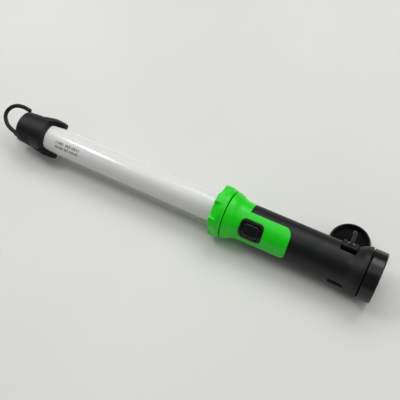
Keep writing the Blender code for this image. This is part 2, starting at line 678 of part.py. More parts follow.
def foot_arm():
    """Narrow swan-neck arm from the hinge to the boss in the middle of the dish."""
    hinge = foot_hinge_point(SLOT_MID)
    boss_top = DISH_CENTER - DISH_AXIS * 2.2 * MM
    boss_low = DISH_CENTER - DISH_AXIS * 5.6 * MM
    guide = [hinge, hinge + Vector((0.0, 6.5 * MM, 2.4 * MM)), hinge + Vector((-0.6 * MM, 12.5 * MM, 0.6 * MM)),
             hinge + Vector((-1.8 * MM, 17.2 * MM, -6.5 * MM)), boss_top + DISH_AXIS * 6.0 * MM,
             boss_top - DISH_AXIS * 1.0 * MM]
    bar = swept(smooth_path(guide, 4), 1.9 * MM, 10)
    eye = knuckle(SLOT_MID - 2.1 * MM, SLOT_MID + 2.1 * MM)
    boss = rod(4.2 * MM, boss_low, boss_top, 24)
    arm = cut(join(bar, eye, boss), knuckle(SLOT_MID - 4 * MM, SLOT_MID + 4 * MM, 1.15 * MM),
              rod(1.5 * MM, boss_low - DISH_AXIS * 2 * MM, boss_low + DISH_AXIS * 2.6 * MM))
    finish(arm, "foot_arm", MATS["black_satin"], pivot=hinge)


def dish():
    """Round dish, open towards the lamp, with a ring magnet and a cover plate in its base."""
    floor = -5.9 * MM
    outline = [(floor, 2.2 * MM), (floor, 16.6 * MM), (-4.6 * MM, 18.4 * MM), (-0.9 * MM, 19.4 * MM),
               (-0.2 * MM, 20.0 * MM), (0.0, 20.7 * MM), (-0.5 * MM, DISH_R), (-2.4 * MM, DISH_R),
               (-3.0 * MM, 20.9 * MM), (-DISH_DEPTH + 0.6 * MM, 20.1 * MM), (-DISH_DEPTH, 19.5 * MM),
               (-DISH_DEPTH, 17.4 * MM), (-7.4 * MM, 17.4 * MM), (-7.4 * MM, 2.2 * MM)]
    shell = turned(outline, 36)
    ribs = []
    for index in range(4):
        rib = block((1.4 * MM, 1.2 * MM, 10.5 * MM), (floor + 0.2 * MM, 0.0, 11.6 * MM), 45.0 + 90.0 * index)
        ribs.append(rib)
    shell = aim(join(shell, *ribs), DISH_AXIS, DISH_CENTER)
    finish(shell, "foot_dish", MATS["black_satin"], pivot=DISH_CENTER)

    cover = turned([(-DISH_DEPTH + 0.1 * MM, 4.4 * MM), (-DISH_DEPTH + 0.1 * MM, 17.1 * MM),
                    (-DISH_DEPTH + 1.3 * MM, 17.1 * MM), (-DISH_DEPTH + 1.3 * MM, 4.4 * MM)], 40)
    finish(aim(cover, DISH_AXIS, DISH_CENTER), "foot_magnet", MATS["magnet"], pivot=DISH_CENTER)

    screw = solid_turned([(-8.6 * MM, 3.6 * MM), (-7.7 * MM, 3.6 * MM),
                          (-7.7 * MM, 1.2 * MM), (-3.4 * MM, 1.2 * MM)], 20)
    finish(aim(screw, DISH_AXIS, DISH_CENTER), "foot_screw", MATS["steel"], pivot=DISH_CENTER)


# ---------------------------------------------------------------- hook

HOOK_PIVOT = (-3.8, -11.2)
HOOK_BAR_R = 2.3 * MM
HOOK_GUIDE = (HOOK_PIVOT, (-10.0, -10.3), (-18.3, -7.8), (-25.2, -3.0), (-29.2, 4.2), (-26.9, 12.6),
              (-19.6, 18.0), (-10.3, 19.3), (-1.7, 18.3))
EYE_R = 2.9 * MM
EAR_R = 3.1 * MM


def hook_point(reach, out):
    """Point in the hook's plane, in millimetres before the cap's end face and out from the axis."""
    return Vector((CAP_END + reach * MM, 0.0, 0.0)) + radial(HOOK_DEG) * out * MM


def hook_pin_line(reach):
    side = radial(VIEW_DEG) * reach
    return hook_point(*HOOK_PIVOT) - side, hook_point(*HOOK_PIVOT) + side


def hook():
    """Round-bar hanging hook on a pin beside the lamp's axis, curling round to the cap's other side."""
    path = [hook_point(reach, out) for reach, out in HOOK_GUIDE]
    bar = swept(smooth_path(path, 4), HOOK_BAR_R, 12)
    eye = rod(EYE_R, *hook_pin_line(2.3 * MM), 20)
    bore = rod(1.35 * MM, *hook_pin_line(6 * MM), 20)
    finish(cut(join(bar, eye), bore), "hook", MATS["black_satin"], pivot=hook_point(*HOOK_PIVOT))
    pin = rod(1.15 * MM, *hook_pin_line(4.9 * MM), 20)
    finish(pin, "hook_pin", MATS["steel"], pivot=hook_point(*HOOK_PIVOT))


def hook_swivel():
    """Turning disc on the cap's end face with two ears, held by a rivet through the end wall."""
    face = CAP_END + SWIVEL_SINK - CLEAR
    top = CAP_END
    disc = solid_turned([(face, SWIVEL_R), (top + 0.4 * MM, SWIVEL_R), (top, SWIVEL_R - 0.5 * MM)], 40)
    ears = []
    for side in (-3.9 * MM, 3.9 * MM):
        middle = hook_point(*HOOK_PIVOT) + radial(VIEW_DEG) * side
        half = radial(VIEW_DEG) * 1.1 * MM
        ears.append(rod(EAR_R, middle - half, middle + half, 20))
        foot = (CAP_END - 1.7 * MM, side, HOOK_PIVOT[1] * MM)
        ears.append(block((4.2 * MM, 2.2 * MM, 1.8 * EAR_R), foot, HOOK_DEG))
    bore = rod(1.35 * MM, *hook_pin_line(7 * MM), 20)
    hole = rod(RIVET_R + CLEAR, (face + 1 * MM, 0, 0), (top - 1 * MM, 0, 0), 20)
    finish(cut(join(disc, *ears), bore, hole), "hook_swivel", MATS["black_satin"])
    inner = CAP_END + CAP_WALL + CLEAR
    rivet = solid_turned([(top - 1.5 * MM, 3.6 * MM), (top - 1.1 * MM, 4.4 * MM), (top - CLEAR, 4.4 * MM),
                          (top - CLEAR, RIVET_R), (inner, RIVET_R), (inner, 6.0 * MM),
                          (inner + 1.5 * MM, 6.0 * MM)], 20)
    finish(rivet, "swivel_rivet", MATS["steel"])


MATS = {
    "black_satin": material("black_satin", BLACK, 0.5),
    "black_gloss": material("black_gloss", BLACK, 0.25),
    "green": material("green_shell", GREEN, 0.35),
    "diffuser": material("frosted_diffuser", (0.86, 0.88, 0.9), 0.3),
    "aluminium": material("bar_aluminium", (0.75, 0.76, 0.78), 0.35, 1.0),
    "board": material("board_white", (0.85, 0.86, 0.84), 0.5),
    "white_plastic": material("white_plastic", (0.8, 0.8, 0.78), 0.45),
    "rubber": material("seal_rubber", RUBBER, 0.8),
    "steel": material("steel_plated", STEEL, 0.3, 1.0),
    "brass": material("contact_brass", (0.78, 0.62, 0.3), 0.3, 1.0),
    "cell_wrap": material("cell_wrap", (0.1, 0.2, 0.45), 0.4),
    "magnet": material("magnet_face", (0.35, 0.35, 0.37), 0.35, 1.0),
}

for build in (end_cap, tube, tube_seals, bar_holder, led_bar, led_board, collar, front_shell,
              handle_shell, case_screws, switch, cells, cell_fittings, driver_board, tail_cap,
              charge_jack, charge_flap, foot_block, slot_cover, foot_arm, dish, hook, hook_swivel):
    build()
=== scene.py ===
"""Looks of a rechargeable LED inspection lamp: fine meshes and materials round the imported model.

Lengths are metres.  A station is a distance along the lamp from its tail seam, minus towards the
hook.  Angles round the lamp are counted from its front (-Y) upwards, so 90 degrees is the top.
"""
import math

import bmesh
import bpy
from mathutils import Matrix, Vector


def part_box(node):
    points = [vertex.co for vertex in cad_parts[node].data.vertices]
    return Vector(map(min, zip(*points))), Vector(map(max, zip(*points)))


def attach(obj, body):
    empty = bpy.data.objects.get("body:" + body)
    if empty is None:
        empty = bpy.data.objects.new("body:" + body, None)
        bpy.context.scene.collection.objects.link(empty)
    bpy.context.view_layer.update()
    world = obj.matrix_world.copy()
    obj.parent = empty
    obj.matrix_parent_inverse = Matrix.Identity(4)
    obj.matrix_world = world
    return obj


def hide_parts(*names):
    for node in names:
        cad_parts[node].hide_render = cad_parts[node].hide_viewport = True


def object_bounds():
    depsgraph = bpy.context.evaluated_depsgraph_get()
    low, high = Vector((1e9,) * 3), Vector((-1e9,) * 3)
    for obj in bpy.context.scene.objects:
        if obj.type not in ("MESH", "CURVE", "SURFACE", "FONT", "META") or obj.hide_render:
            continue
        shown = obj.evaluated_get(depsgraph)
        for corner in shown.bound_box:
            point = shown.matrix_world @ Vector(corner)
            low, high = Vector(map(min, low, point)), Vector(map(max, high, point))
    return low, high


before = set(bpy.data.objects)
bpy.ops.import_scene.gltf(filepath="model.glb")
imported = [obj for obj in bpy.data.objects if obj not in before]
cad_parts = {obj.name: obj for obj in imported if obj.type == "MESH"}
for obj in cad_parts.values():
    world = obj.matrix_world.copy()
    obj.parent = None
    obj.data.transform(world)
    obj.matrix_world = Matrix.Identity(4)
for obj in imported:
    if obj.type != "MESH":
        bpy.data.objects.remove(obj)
cad_low, cad_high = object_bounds()

MM = 0.001
CLEAR = 0.3 * MM


def middle(node):
    low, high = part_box(node)
    return (low + high) / 2


# The lamp's own axis, with stations counted from the tail seam
AXIS = Vector((middle("tail_seal").x, middle("diffuser_tube").y, middle("diffuser_tube").z))


def span(node):
    """First and last station of a CAD node."""
    low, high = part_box(node)
    return low.x - AXIS.x, high.x - AXIS.x


# Directions round the lamp, in degrees
SWITCH_DEG = 36.0
PANEL_DEG = 33.0
SLOT_DEG = SWITCH_DEG + 90.0
VIEW_DEG = 58.0
HOOK_DEG = VIEW_DEG + 90.0
TONGUE_DEG = 144.5

# Radii
TUBE_R = (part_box("diffuser_tube")[1].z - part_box("diffuser_tube")[0].z) / 2
TUBE_WALL = 1.6 * MM
CAP_R = 18.8 * MM
CAP_NECK_R = 17.4 * MM
CAP_BORE_R = 13.2 * MM
CAP_WALL = 4.6 * MM
CAP_RING_R = 20.0 * MM
COLLAR_R = 25.9 * MM
TOOTH_R = 26.9 * MM
BELL_R = 25.1 * MM
GRIP_R = 19.9 * MM
GRIP_BORE_R = 16.4 * MM
PANEL_R = 20.25 * MM
FLARE_R = 25.9 * MM
TAIL_BORE_R = 21.6 * MM

# Stations
TUBE_END, TUBE_ROOT = span("diffuser_tube")
CAP_END, TONGUE_TIP = span("end_cap")
COLLAR_FRONT, COLLAR_BACK = span("collar_ring")
PANEL_TIP = span("front_shell")[1]
TAIL_END = span("tail_cap")[1]
RING_BACK = -381.0 * MM
RING_FRONT = -365.8 * MM
BELL_BACK = -121.5 * MM
FLARE_START = -17.0 * MM
FLARE_TOP = -5.0 * MM
SLOT_MID = -22.3 * MM
SLOT_LEN = 16.0 * MM
SWITCH_MID = -114.6 * MM

# Steps round a full turn
ROUND = 160


# ---------------------------------------------------------------- mesh helpers


def from_bmesh(mesh_data):
    """Turn a bmesh into an object with outward faces, not linked to the scene yet."""
    bmesh.ops.recalc_face_normals(mesh_data, faces=mesh_data.faces)
    mesh = bpy.data.meshes.new("piece")
    mesh_data.to_mesh(mesh)
    mesh_data.free()
    return bpy.data.objects.new("piece", mesh)


def radial(deg):
    """Unit vector pointing outwards at an angle round the lamp."""
    turn = math.radians(deg)
    return Vector((0.0, -math.cos(turn), math.sin(turn)))


def around(station, offset, height, deg):
    """Point at a station, offset sideways and raised along the outward direction at deg."""
    side = Vector((0.0, math.sin(math.radians(deg)), math.cos(math.radians(deg))))
    return Vector((station, 0.0, 0.0)) + offset * side + height * radial(deg)


# Corners whose two sides have a lower cosine between them than this are left as they are
NEARLY_STRAIGHT = -0.97


def eased(outline, ease=0.35 * MM, steps=4):
    """Closed outline with each of its real corners replaced by a short curve."""
    made = []
    count = len(outline)
    for index, point in enumerate(outline):
        corner = Vector(point)
        into = Vector(outline[index - 1]) - corner
        out = Vector(outline[(index + 1) % count]) - corner
        if into.normalized().dot(out.normalized()) < NEARLY_STRAIGHT:
            made.append(tuple(corner))
            continue
        reach = min(ease, 0.45 * into.length, 0.45 * out.length)
        start = corner + reach * into.normalized()
        end = corner + reach * out.normalized()
        for step in range(steps + 1):
            t = step / steps
            made.append(tuple((1 - t) ** 2 * start + 2 * t * (1 - t) * corner + t * t * end))
    return made


def loft(mesh_data, rings, closed_rings=False):
    """Quads between rings of vertices, each ring closed on itself."""
    count = len(rings[0])
    following = rings[1:] + rings[:1] if closed_rings else rings[1:]
    for here, there in zip(rings, following):
        for step in range(count):
            after = (step + 1) % count
            mesh_data.faces.new((here[step], here[after], there[after], there[step]))


def turned(profile, segments=ROUND, radius_at=None):
    """Body of revolution about X from a closed (station, radius) outline.

    radius_at, if given, returns the radius for a station, a plain radius and an angle.
    """
    mesh_data = bmesh.new()
    rings = []
    for station, radius in profile:
        ring = []
        for step in range(segments):
            angle = step * math.tau / segments
            grown = radius if radius_at is None else radius_at(station, radius, angle)
            ring.append(mesh_data.verts.new((station, -grown * math.cos(angle), grown * math.sin(angle))))
        rings.append(ring)
    loft(mesh_data, rings, closed_rings=True)
    return from_bmesh(mesh_data)


def solid_turned(profile, segments=ROUND):
    """Solid of revolution about X from an open (station, radius) outline, closed at both ends."""
    mesh_data = bmesh.new()
    rings = []
    for station, radius in profile:
        rings.append([mesh_data.verts.new((station, -radius * math.cos(step * math.tau / segments),
                                           radius * math.sin(step * math.tau / segments)))
                      for step in range(segments)])
    loft(mesh_data, rings)
    mesh_data.faces.new(rings[0])
    mesh_data.faces.new(rings[-1])
    return from_bmesh(mesh_data)


def domed(start, end, radius, ease):
    """Open outline for a round pin with eased ends."""
    outline = [(start, radius - ease)]
    for station, sign in ((start, 1), (end, -1)):
        arc = []
        for step in range(5):
            turn = step * math.pi / 8
            arc.append((station + sign * ease * (1 - math.sin(turn)), radius - ease * (1 - math.cos(turn))))
        outline += arc[::-1] if sign > 0 else arc
    return outline


def rounded_outline(length, width, corner, steps=7):
    """Points of a rounded rectangle, centred on the origin."""
    corner = max(corner, 0.05 * MM)
    points = []
    for quarter, (sign_x, sign_y) in enumerate(((1, 1), (-1, 1), (-1, -1), (1, -1))):
        for step in range(steps + 1):
            angle = (quarter + step / steps) * math.pi / 2
            points.append((sign_x * (length / 2 - corner) + corner * math.cos(angle),
                           sign_y * (width / 2 - corner) + corner * math.sin(angle)))
    return points


def pad(size, corner, layers, station, deg, radius, filled=True, sides=18, bulge=0.0):
    """Plate bent round the lamp: rounded rectangle seen from outside, in (inset, height) layers.

    Heights are measured from radius.  filled closes the last layer with a bent face, otherwise
    the layers close on themselves as a frame.  bulge bows the edge that faces the tail.
    """
    length, width = size
    mesh_data = bmesh.new()

    def spot(along, aside, height):
        reach = radius + height
        if along > 0:
            along -= bulge * (2 * aside / width) ** 2
        angle = math.radians(deg) - math.asin(max(-1.0, min(1.0, aside / radius)))
        return mesh_data.verts.new((station + along, -reach * math.cos(angle), reach * math.sin(angle)))

    def ring(inset, height, scale=1.0):
        points = dense(rounded_outline(length - 2 * inset, width - 2 * inset, corner - inset), sides)
        return [spot(scale * x, scale * y, height) for x, y in points]

    rings = [ring(inset, height) for inset, height in layers]
    loft(mesh_data, rings, closed_rings=not filled)
    if filled:
        inset, height = layers[-1]
        parts = 9
        shrinking = [rings[-1]] + [ring(inset, height, 1 - step / parts) for step in range(1, parts)]
        loft(mesh_data, shrinking)
        mesh_data.faces.new(shrinking[-1])
        mesh_data.faces.new(rings[0])
    return from_bmesh(mesh_data)


def dense(points, sides):
    """Closed outline with its long straight sides divided."""
    made = []
    count = len(points)
    for index, point in enumerate(points):
        after = points[(index + 1) % count]
        parts = sides if (index + 1) % (count // 4) == 0 else 1
        for step in range(parts):
            t = step / parts
            made.append((point[0] + t * (after[0] - point[0]), point[1] + t * (after[1] - point[1])))
    return made


def rim(depth, top, ease, steps=4):
    """Layers of a plate's edge: straight wall from depth, then a quarter round up to top."""
    layers = [(0.0, depth)]
    for step in range(steps + 1):
        turn = step * math.pi / (2 * steps)
        layers.append((ease * (1 - math.cos(turn)), top - ease * (1 - math.sin(turn))))
    return layers


def mouth(depth, top, ease, steps=4):
    """Layers of a cutter that leaves a rounded edge where it breaks the surface at top."""
    layers = [(0.0, depth)]
    for step in range(steps + 1):
        turn = step * math.pi / (2 * steps)
        layers.append((-ease * (1 - math.cos(turn)), top - ease * (1 - math.sin(turn))))
    layers.append((-ease - 1.0 * MM, top + 1.0 * MM))
    layers.append((-ease - 1.0 * MM, top + 12 * MM))
    return layers


def block(size, center, turn_deg=0.0, bevel=0.3 * MM, segments=3):
    """Box with rounded edges, turned about X so that its local Z points outwards at turn_deg."""
    mesh_data = bmesh.new()
    bmesh.ops.create_cube(mesh_data, size=1.0)
    bmesh.ops.scale(mesh_data, vec=size, verts=mesh_data.verts)
    bmesh.ops.bevel(mesh_data, geom=list(mesh_data.edges), offset=bevel, segments=segments,
                    affect="EDGES", profile=0.5)
    bmesh.ops.translate(mesh_data, vec=center, verts=mesh_data.verts)
    spin = Matrix.Rotation(math.radians(90.0 - turn_deg), 3, "X")
    bmesh.ops.rotate(mesh_data, matrix=spin, verts=mesh_data.verts)
    return from_bmesh(mesh_data)


def swept(points, radius_at, sides=28):
    """Round bar along a list of points; radius_at gives the radius at a distance along it."""
    mesh_data = bmesh.new()
    rings = []
    side = None
    travelled = 0.0
    for index, point in enumerate(points):
        along = (points[min(index + 1, len(points) - 1)] - points[max(index - 1, 0)]).normalized()
        if side is None:
            side = along.orthogonal().normalized()
        else:
            travelled += (point - points[index - 1]).length
        side = (side - along * side.dot(along)).normalized()
        other = along.cross(side)
        radius = radius_at(travelled)
        rings.append([mesh_data.verts.new(point + radius * (math.cos(step * math.tau / sides) * side
                                                            + math.sin(step * math.tau / sides) * other))
                      for step in range(sides)])
    loft(mesh_data, rings)
    mesh_data.faces.new(rings[0])
    mesh_data.faces.new(rings[-1])
    return from_bmesh(mesh_data)


def smooth_path(points, per_span=10):
    """Catmull-Rom points through a list of guide points."""
    guide = [Vector(point) for point in points]
    guide = [2 * guide[0] - guide[1]] + guide + [2 * guide[-1] - guide[-2]]
    path = []
    for index in range(1, len(guide) - 2):
        for step in range(per_span):
            t = step / per_span
            a, b, c, d = guide[index - 1:index + 3]
            path.append(0.5 * ((2 * b) + (c - a) * t + (2 * a - 5 * b + 4 * c - d) * t ** 2
                               + (3 * b - a - 3 * c + d) * t ** 3))
    path.append(guide[-2])
    return path


def round_tipped(path, radius, ease):
    """Radius along a path that closes its last end with a rounded edge."""
    whole = sum((after - before).length for before, after in zip(path[:-1], path[1:]))

    def radius_at(travelled):
        left = max(whole - travelled, 0.0)
        if left >= ease:
            return radius
        return radius - ease + math.sqrt(ease ** 2 - (ease - left) ** 2)

    return radius_at


def combine(target, others, operation):
    """Apply an exact boolean between target and each of the others, then drop the others."""
    collection = bpy.context.scene.collection
    collection.objects.link(target)
    for other in others:
        collection.objects.link(other)
        step = target.modifiers.new("step", "BOOLEAN")
        step.operation = operation
        step.solver = "EXACT"
        step.object = other
    graph = bpy.context.evaluated_depsgraph_get()
    result = bpy.data.meshes.new_from_object(target.evaluated_get(graph), depsgraph=graph)
    for used in [target, *others]:
        bpy.data.objects.remove(used)
    mesh_data = bmesh.new()
    mesh_data.from_mesh(result)
    bmesh.ops.remove_doubles(mesh_data, verts=mesh_data.verts, dist=1e-6)
    bmesh.ops.dissolve_degenerate(mesh_data, edges=mesh_data.edges, dist=1e-6)
    return from_bmesh(mesh_data)


def cut(target, *others):
    return combine(target, others, "DIFFERENCE")


def join(target, *others):
    return combine(target, others, "UNION")


def aim(obj, direction, center):
    """Turn an object built along X to run along direction, and move its origin to center."""
    turn = Vector((1.0, 0.0, 0.0)).rotation_difference(Vector(direction)).to_matrix().to_4x4()
    obj.data.transform(Matrix.Translation(Vector(center)) @ turn)
    return obj


def rod(radius, start, end, ease=0.25 * MM, sides=40):
    """Round rod with eased ends between two points."""
    reach = Vector(end) - Vector(start)
    return aim(solid_turned(domed(0.0, reach.length, radius, ease), sides), reach.normalized(), start)


def show(obj, name, slot, body, *nodes, sharp_deg=32.0):
    """Name a piece, put it in its place, shade it, hang it on its body and hide the CAD nodes it stands for.
    """
    obj.name = name
    obj.data.name = name
    obj.data.transform(Matrix.Translation(AXIS))
    obj.data.materials.clear()
    obj.data.materials.append(MATERIALS[slot])
    obj.data.polygons.foreach_set("use_smooth", [True] * len(obj.data.polygons))
    obj.data.set_sharp_from_angle(angle=math.radians(sharp_deg))
    bpy.context.scene.collection.objects.link(obj)
    weighted = obj.modifiers.new("weighted_normals", "WEIGHTED_NORMAL")
    weighted.keep_sharp = True
    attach(obj, body)
    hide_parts(*nodes)


# ---------------------------------------------------------------- materials


def surface(name, color, roughness, metallic=0.0):
    """Principled material with the values that are the same all over."""
    made = bpy.data.materials.new(name)
    made.use_nodes = True
    shader = made.node_tree.nodes["Principled BSDF"]
    shader.inputs["Base Color"].default_value = (*color, 1.0)
    shader.inputs["Roughness"].default_value = roughness
    shader.inputs["Metallic"].default_value = metallic
    made.diffuse_color = (*color, 1.0)
    return made, made.node_tree, shader


def noise(tree, size, detail=3.0, stretch=(1.0, 1.0, 1.0)):
    """Noise with features of about the given size, in the part's own coordinates."""
    place = tree.nodes.new("ShaderNodeTexCoord")
    mapping = tree.nodes.new("ShaderNodeMapping")
    mapping.inputs["Scale"].default_value = stretch
    texture = tree.nodes.new("ShaderNodeTexNoise")
    texture.inputs["Scale"].default_value = 1.0 / size
    texture.inputs["Detail"].default_value = detail
    tree.links.new(place.outputs["Object"], mapping.inputs["Vector"])
    tree.links.new(mapping.outputs["Vector"], texture.inputs["Vector"])
    return texture.outputs["Fac"]


def rough_between(tree, shader, fac, low, high):
    """Roughness that wanders between two values."""
    spread = tree.nodes.new("ShaderNodeMapRange")
    spread.inputs["From Min"].default_value = 0.3
    spread.inputs["From Max"].default_value = 0.7
    spread.inputs["To Min"].default_value = low
    spread.inputs["To Max"].default_value = high
    tree.links.new(fac, spread.inputs["Value"])
    tree.links.new(spread.outputs["Result"], shader.inputs["Roughness"])


def tinted(tree, shader, fac, dark, light):
    """Base colour that wanders between two close colours."""
    ramp = tree.nodes.new("ShaderNodeValToRGB")
    ramp.color_ramp.elements[0].position = 0.35
    ramp.color_ramp.elements[0].color = (*dark, 1.0)
    ramp.color_ramp.elements[1].position = 0.65
    ramp.color_ramp.elements[1].color = (*light, 1.0)
    tree.links.new(fac, ramp.inputs["Fac"])
    tree.links.new(ramp.outputs["Color"], shader.inputs["Base Color"])


def bumpy(tree, shader, fac, depth, strength=1.0):
    bump = tree.nodes.new("ShaderNodeBump")
    bump.inputs["Strength"].default_value = strength
    bump.inputs["Distance"].default_value = depth
    tree.links.new(fac, bump.inputs["Height"])
    tree.links.new(bump.outputs["Normal"], shader.inputs["Normal"])


def shaded(color, gain):
    return tuple(min(1.0, gain * channel) for channel in color)


def moulded(name, color, rough_low, rough_high, grain_size, grain_depth, spread=0.12, ior=1.45):
    """Moulded plastic: fine spark-eroded grain, handled patches and a slight colour wander."""
    made, tree, shader = surface(name, color, rough_low)
    shader.inputs["IOR"].default_value = ior
    tinted(tree, shader, noise(tree, 9 * MM), shaded(color, 1 - spread), shaded(color, 1 + spread))
    rough_between(tree, shader, noise(tree, 5 * MM, 4.0), rough_low, rough_high)
    bumpy(tree, shader, noise(tree, grain_size, 2.0), grain_depth)
    return made


def reckon(tree, operation, *values):
    """Math node on sockets or plain numbers, giving its result socket."""
    node = tree.nodes.new("ShaderNodeMath")
    node.operation = operation
    for socket, value in zip(node.inputs, values):
        if isinstance(value, (int, float)):
            socket.default_value = value
        else:
            tree.links.new(value, socket)
    return node.outputs[0]


def within(tree, value, center, half):
    """One where a value lies within half of center, otherwise nothing."""
    return reckon(tree, "LESS_THAN", reckon(tree, "ABSOLUTE", reckon(tree, "SUBTRACT", value, center)), half)


def repeating(tree, value, pitch):
    """Part of the current repeat, from nothing to one, of a value that repeats at a pitch."""
    return reckon(tree, "FRACT", reckon(tree, "DIVIDE", value, pitch))


# Printed rows as (degrees round the lamp, pitch of the bars), and the half sizes of a row
PRINT_ROWS = ((50.0, 2.3 * MM), (31.0, 1.7 * MM))
PRINT_MID = -336.0 * MM
PRINT_HALF = 15.0 * MM
PRINT_HALF_DEG = 5.6
# Inked share of a pitch, pitches in a group and blank share of a group
PRINT_STROKE = 0.6
PRINT_GROUP = 3.7
PRINT_SPACE = 0.16
PRINT_INK = (0.1, 0.1, 0.1)
PRINT_COVER = 0.95


def printed(tree, shader):
    """Two short rows of plain printed bars round the tube's front, near the cap."""
    place = tree.nodes.new("ShaderNodeTexCoord")
    parts = tree.nodes.new("ShaderNodeSeparateXYZ")
    tree.links.new(place.outputs["Object"], parts.inputs["Vector"])
    station = reckon(tree, "SUBTRACT", parts.outputs["X"], AXIS.x)
    forward = reckon(tree, "SUBTRACT", AXIS.y, parts.outputs["Y"])
    upward = reckon(tree, "SUBTRACT", parts.outputs["Z"], AXIS.z)
    angle = reckon(tree, "ARCTAN2", upward, forward)
    mask = None
    for row_deg, pitch in PRINT_ROWS:
        stroke = reckon(tree, "LESS_THAN", repeating(tree, station, pitch), PRINT_STROKE)
        group = reckon(tree, "GREATER_THAN", repeating(tree, station, PRINT_GROUP * pitch), PRINT_SPACE)
        band = within(tree, angle, math.radians(row_deg), math.radians(PRINT_HALF_DEG))
        row = reckon(tree, "MULTIPLY", band, reckon(tree, "MULTIPLY", stroke, group))
        mask = row if mask is None else reckon(tree, "MAXIMUM", mask, row)
    mask = reckon(tree, "MULTIPLY", mask, within(tree, station, PRINT_MID, PRINT_HALF))
    mixed = tree.nodes.new("ShaderNodeMixRGB")
    plain = shader.inputs["Base Color"].links[0].from_socket
    tree.links.new(reckon(tree, "MULTIPLY", mask, PRINT_COVER), mixed.inputs["Fac"])
    tree.links.new(plain, mixed.inputs["Color1"])
    mixed.inputs["Color2"].default_value = (*PRINT_INK, 1.0)
    tree.links.new(mixed.outputs["Color"], shader.inputs["Base Color"])


def frosted(name):
    """Frosted polycarbonate tube: milky, smooth outside, with faint flow streaks along it."""
    color = (0.72, 0.72, 0.71)
    made, tree, shader = surface(name, color, 0.12)
    shader.inputs["IOR"].default_value = 1.52
    shader.inputs["Subsurface Weight"].default_value = 0.25
    shader.inputs["Subsurface Radius"].default_value = (4 * MM, 4 * MM, 4 * MM)
    shader.inputs["Subsurface Scale"].default_value = 1.0
    streaks = noise(tree, 4 * MM, 3.0, (0.05, 1.0, 1.0))
    tinted(tree, shader, streaks, shaded(color, 0.975), shaded(color, 1.015))
    printed(tree, shader)
    rough_between(tree, shader, noise(tree, 6 * MM, 3.0, (0.3, 1.0, 1.0)), 0.1, 0.15)
    bumpy(tree, shader, noise(tree, 1.5 * MM, 2.0, (0.2, 1.0, 1.0)), 0.01 * MM)
    return made


def metal(name, color, rough_low, rough_high, stretch):
    """Bare or plated metal with drawn lines along one direction."""
    made, tree, shader = surface(name, color, rough_low, 1.0)
    tinted(tree, shader, noise(tree, 3 * MM), shaded(color, 0.85), shaded(color, 1.08))
    lines = noise(tree, 0.25 * MM, 3.0, stretch)
    rough_between(tree, shader, lines, rough_low, rough_high)
    bumpy(tree, shader, lines, 0.01 * MM, 0.6)
    return made


BLACK = (0.0028, 0.0034, 0.0036)
GREEN = (0.004, 0.6, 0.004)

MATERIALS = {
    "black_satin": moulded("black_satin", BLACK, 0.4, 0.5, 0.35 * MM, 0.02 * MM, 0.2, 1.36),
    "black_gloss": moulded("black_gloss", BLACK, 0.2, 0.28, 0.5 * MM, 0.008 * MM, 0.2, 1.42),
    "green_shell": moulded("green_shell", GREEN, 0.3, 0.38, 0.4 * MM, 0.01 * MM, 0.03),
    "frosted_diffuser": frosted("frosted_diffuser"),
    "bar_aluminium": metal("bar_aluminium", (0.75, 0.76, 0.78), 0.3, 0.45, (0.05, 1.0, 1.0)),
    "board_white": moulded("board_white", (0.8, 0.82, 0.8), 0.35, 0.5, 0.6 * MM, 0.01 * MM, 0.04),
    "white_plastic": moulded("white_plastic", (0.78, 0.78, 0.75), 0.4, 0.5, 0.4 * MM, 0.02 * MM, 0.03),
    "seal_rubber": moulded("seal_rubber", (0.006, 0.006, 0.006), 0.75, 0.9, 0.3 * MM, 0.03 * MM, 0.2, 1.12),
    "steel_plated": metal("steel_plated", (0.56, 0.57, 0.58), 0.22, 0.36, (1.0, 0.2, 0.2)),
    "contact_brass": metal("contact_brass", (0.78, 0.6, 0.28), 0.25, 0.4, (1.0, 0.2, 0.2)),
    "cell_wrap": moulded("cell_wrap", (0.06, 0.15, 0.4), 0.25, 0.35, 1.5 * MM, 0.01 * MM, 0.08),
    "magnet_face": metal("magnet_face", (0.3, 0.3, 0.32), 0.3, 0.5, (1.0, 1.0, 0.1)),
}


def dress_cad_nodes():
    """Give every CAD node the procedural material of its own slot."""
    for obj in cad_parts.values():
        for holder in obj.material_slots:
            holder.material = MATERIALS[holder.material.name.split(".")[0]]


# ---------------------------------------------------------------- cap end


TONGUE_HALF = 7.6 * MM
TONGUE_START = -379.3 * MM
TONGUE_TAPER = -368.0 * MM
TONGUE_EDGE = 1.2 * MM
# (station, radius) knots of a tongue's ridge, in millimetres
TONGUE_RIDGE = ((-379.3, 19.6), (-371.0, 21.2), (-366.0, 21.6),
                (-357.0, 20.9), (-354.6, 20.3), (-352.6, 19.5))
WEB_START = RING_FRONT - 1.0 * MM
WEB_LEN = 5.0 * MM
WEB_SPREAD = 3.0 * MM
SWIVEL_R = 14.9 * MM
SWIVEL_SINK = 1.6 * MM
RIVET_R = 2.8 * MM


def between(knots, station):
    """Value at a station on a line through (station, value) knots given in millimetres."""
    here = station / MM
    for (start, low), (end, high) in zip(knots[:-1], knots[1:]):
        if here <= end:
            return (low + (high - low) * max(0.0, here - start) / (end - start)) * MM
    return knots[-1][1] * MM


def tongue_half(station):
    """Half the width of a tongue: webbed to the ring at its root, then a blunt ellipse."""
    along = max(0.0, (station - TONGUE_TAPER) / (TONGUE_TIP + 1.0 * MM - TONGUE_TAPER))
    web = min(1.0, max(0.0, 1 - (station - WEB_START) / WEB_LEN))
    if station <= WEB_START - WEB_LEN:
        web = 0.0
    return TONGUE_HALF * math.sqrt(1 - along ** 2) + WEB_SPREAD * web ** 2


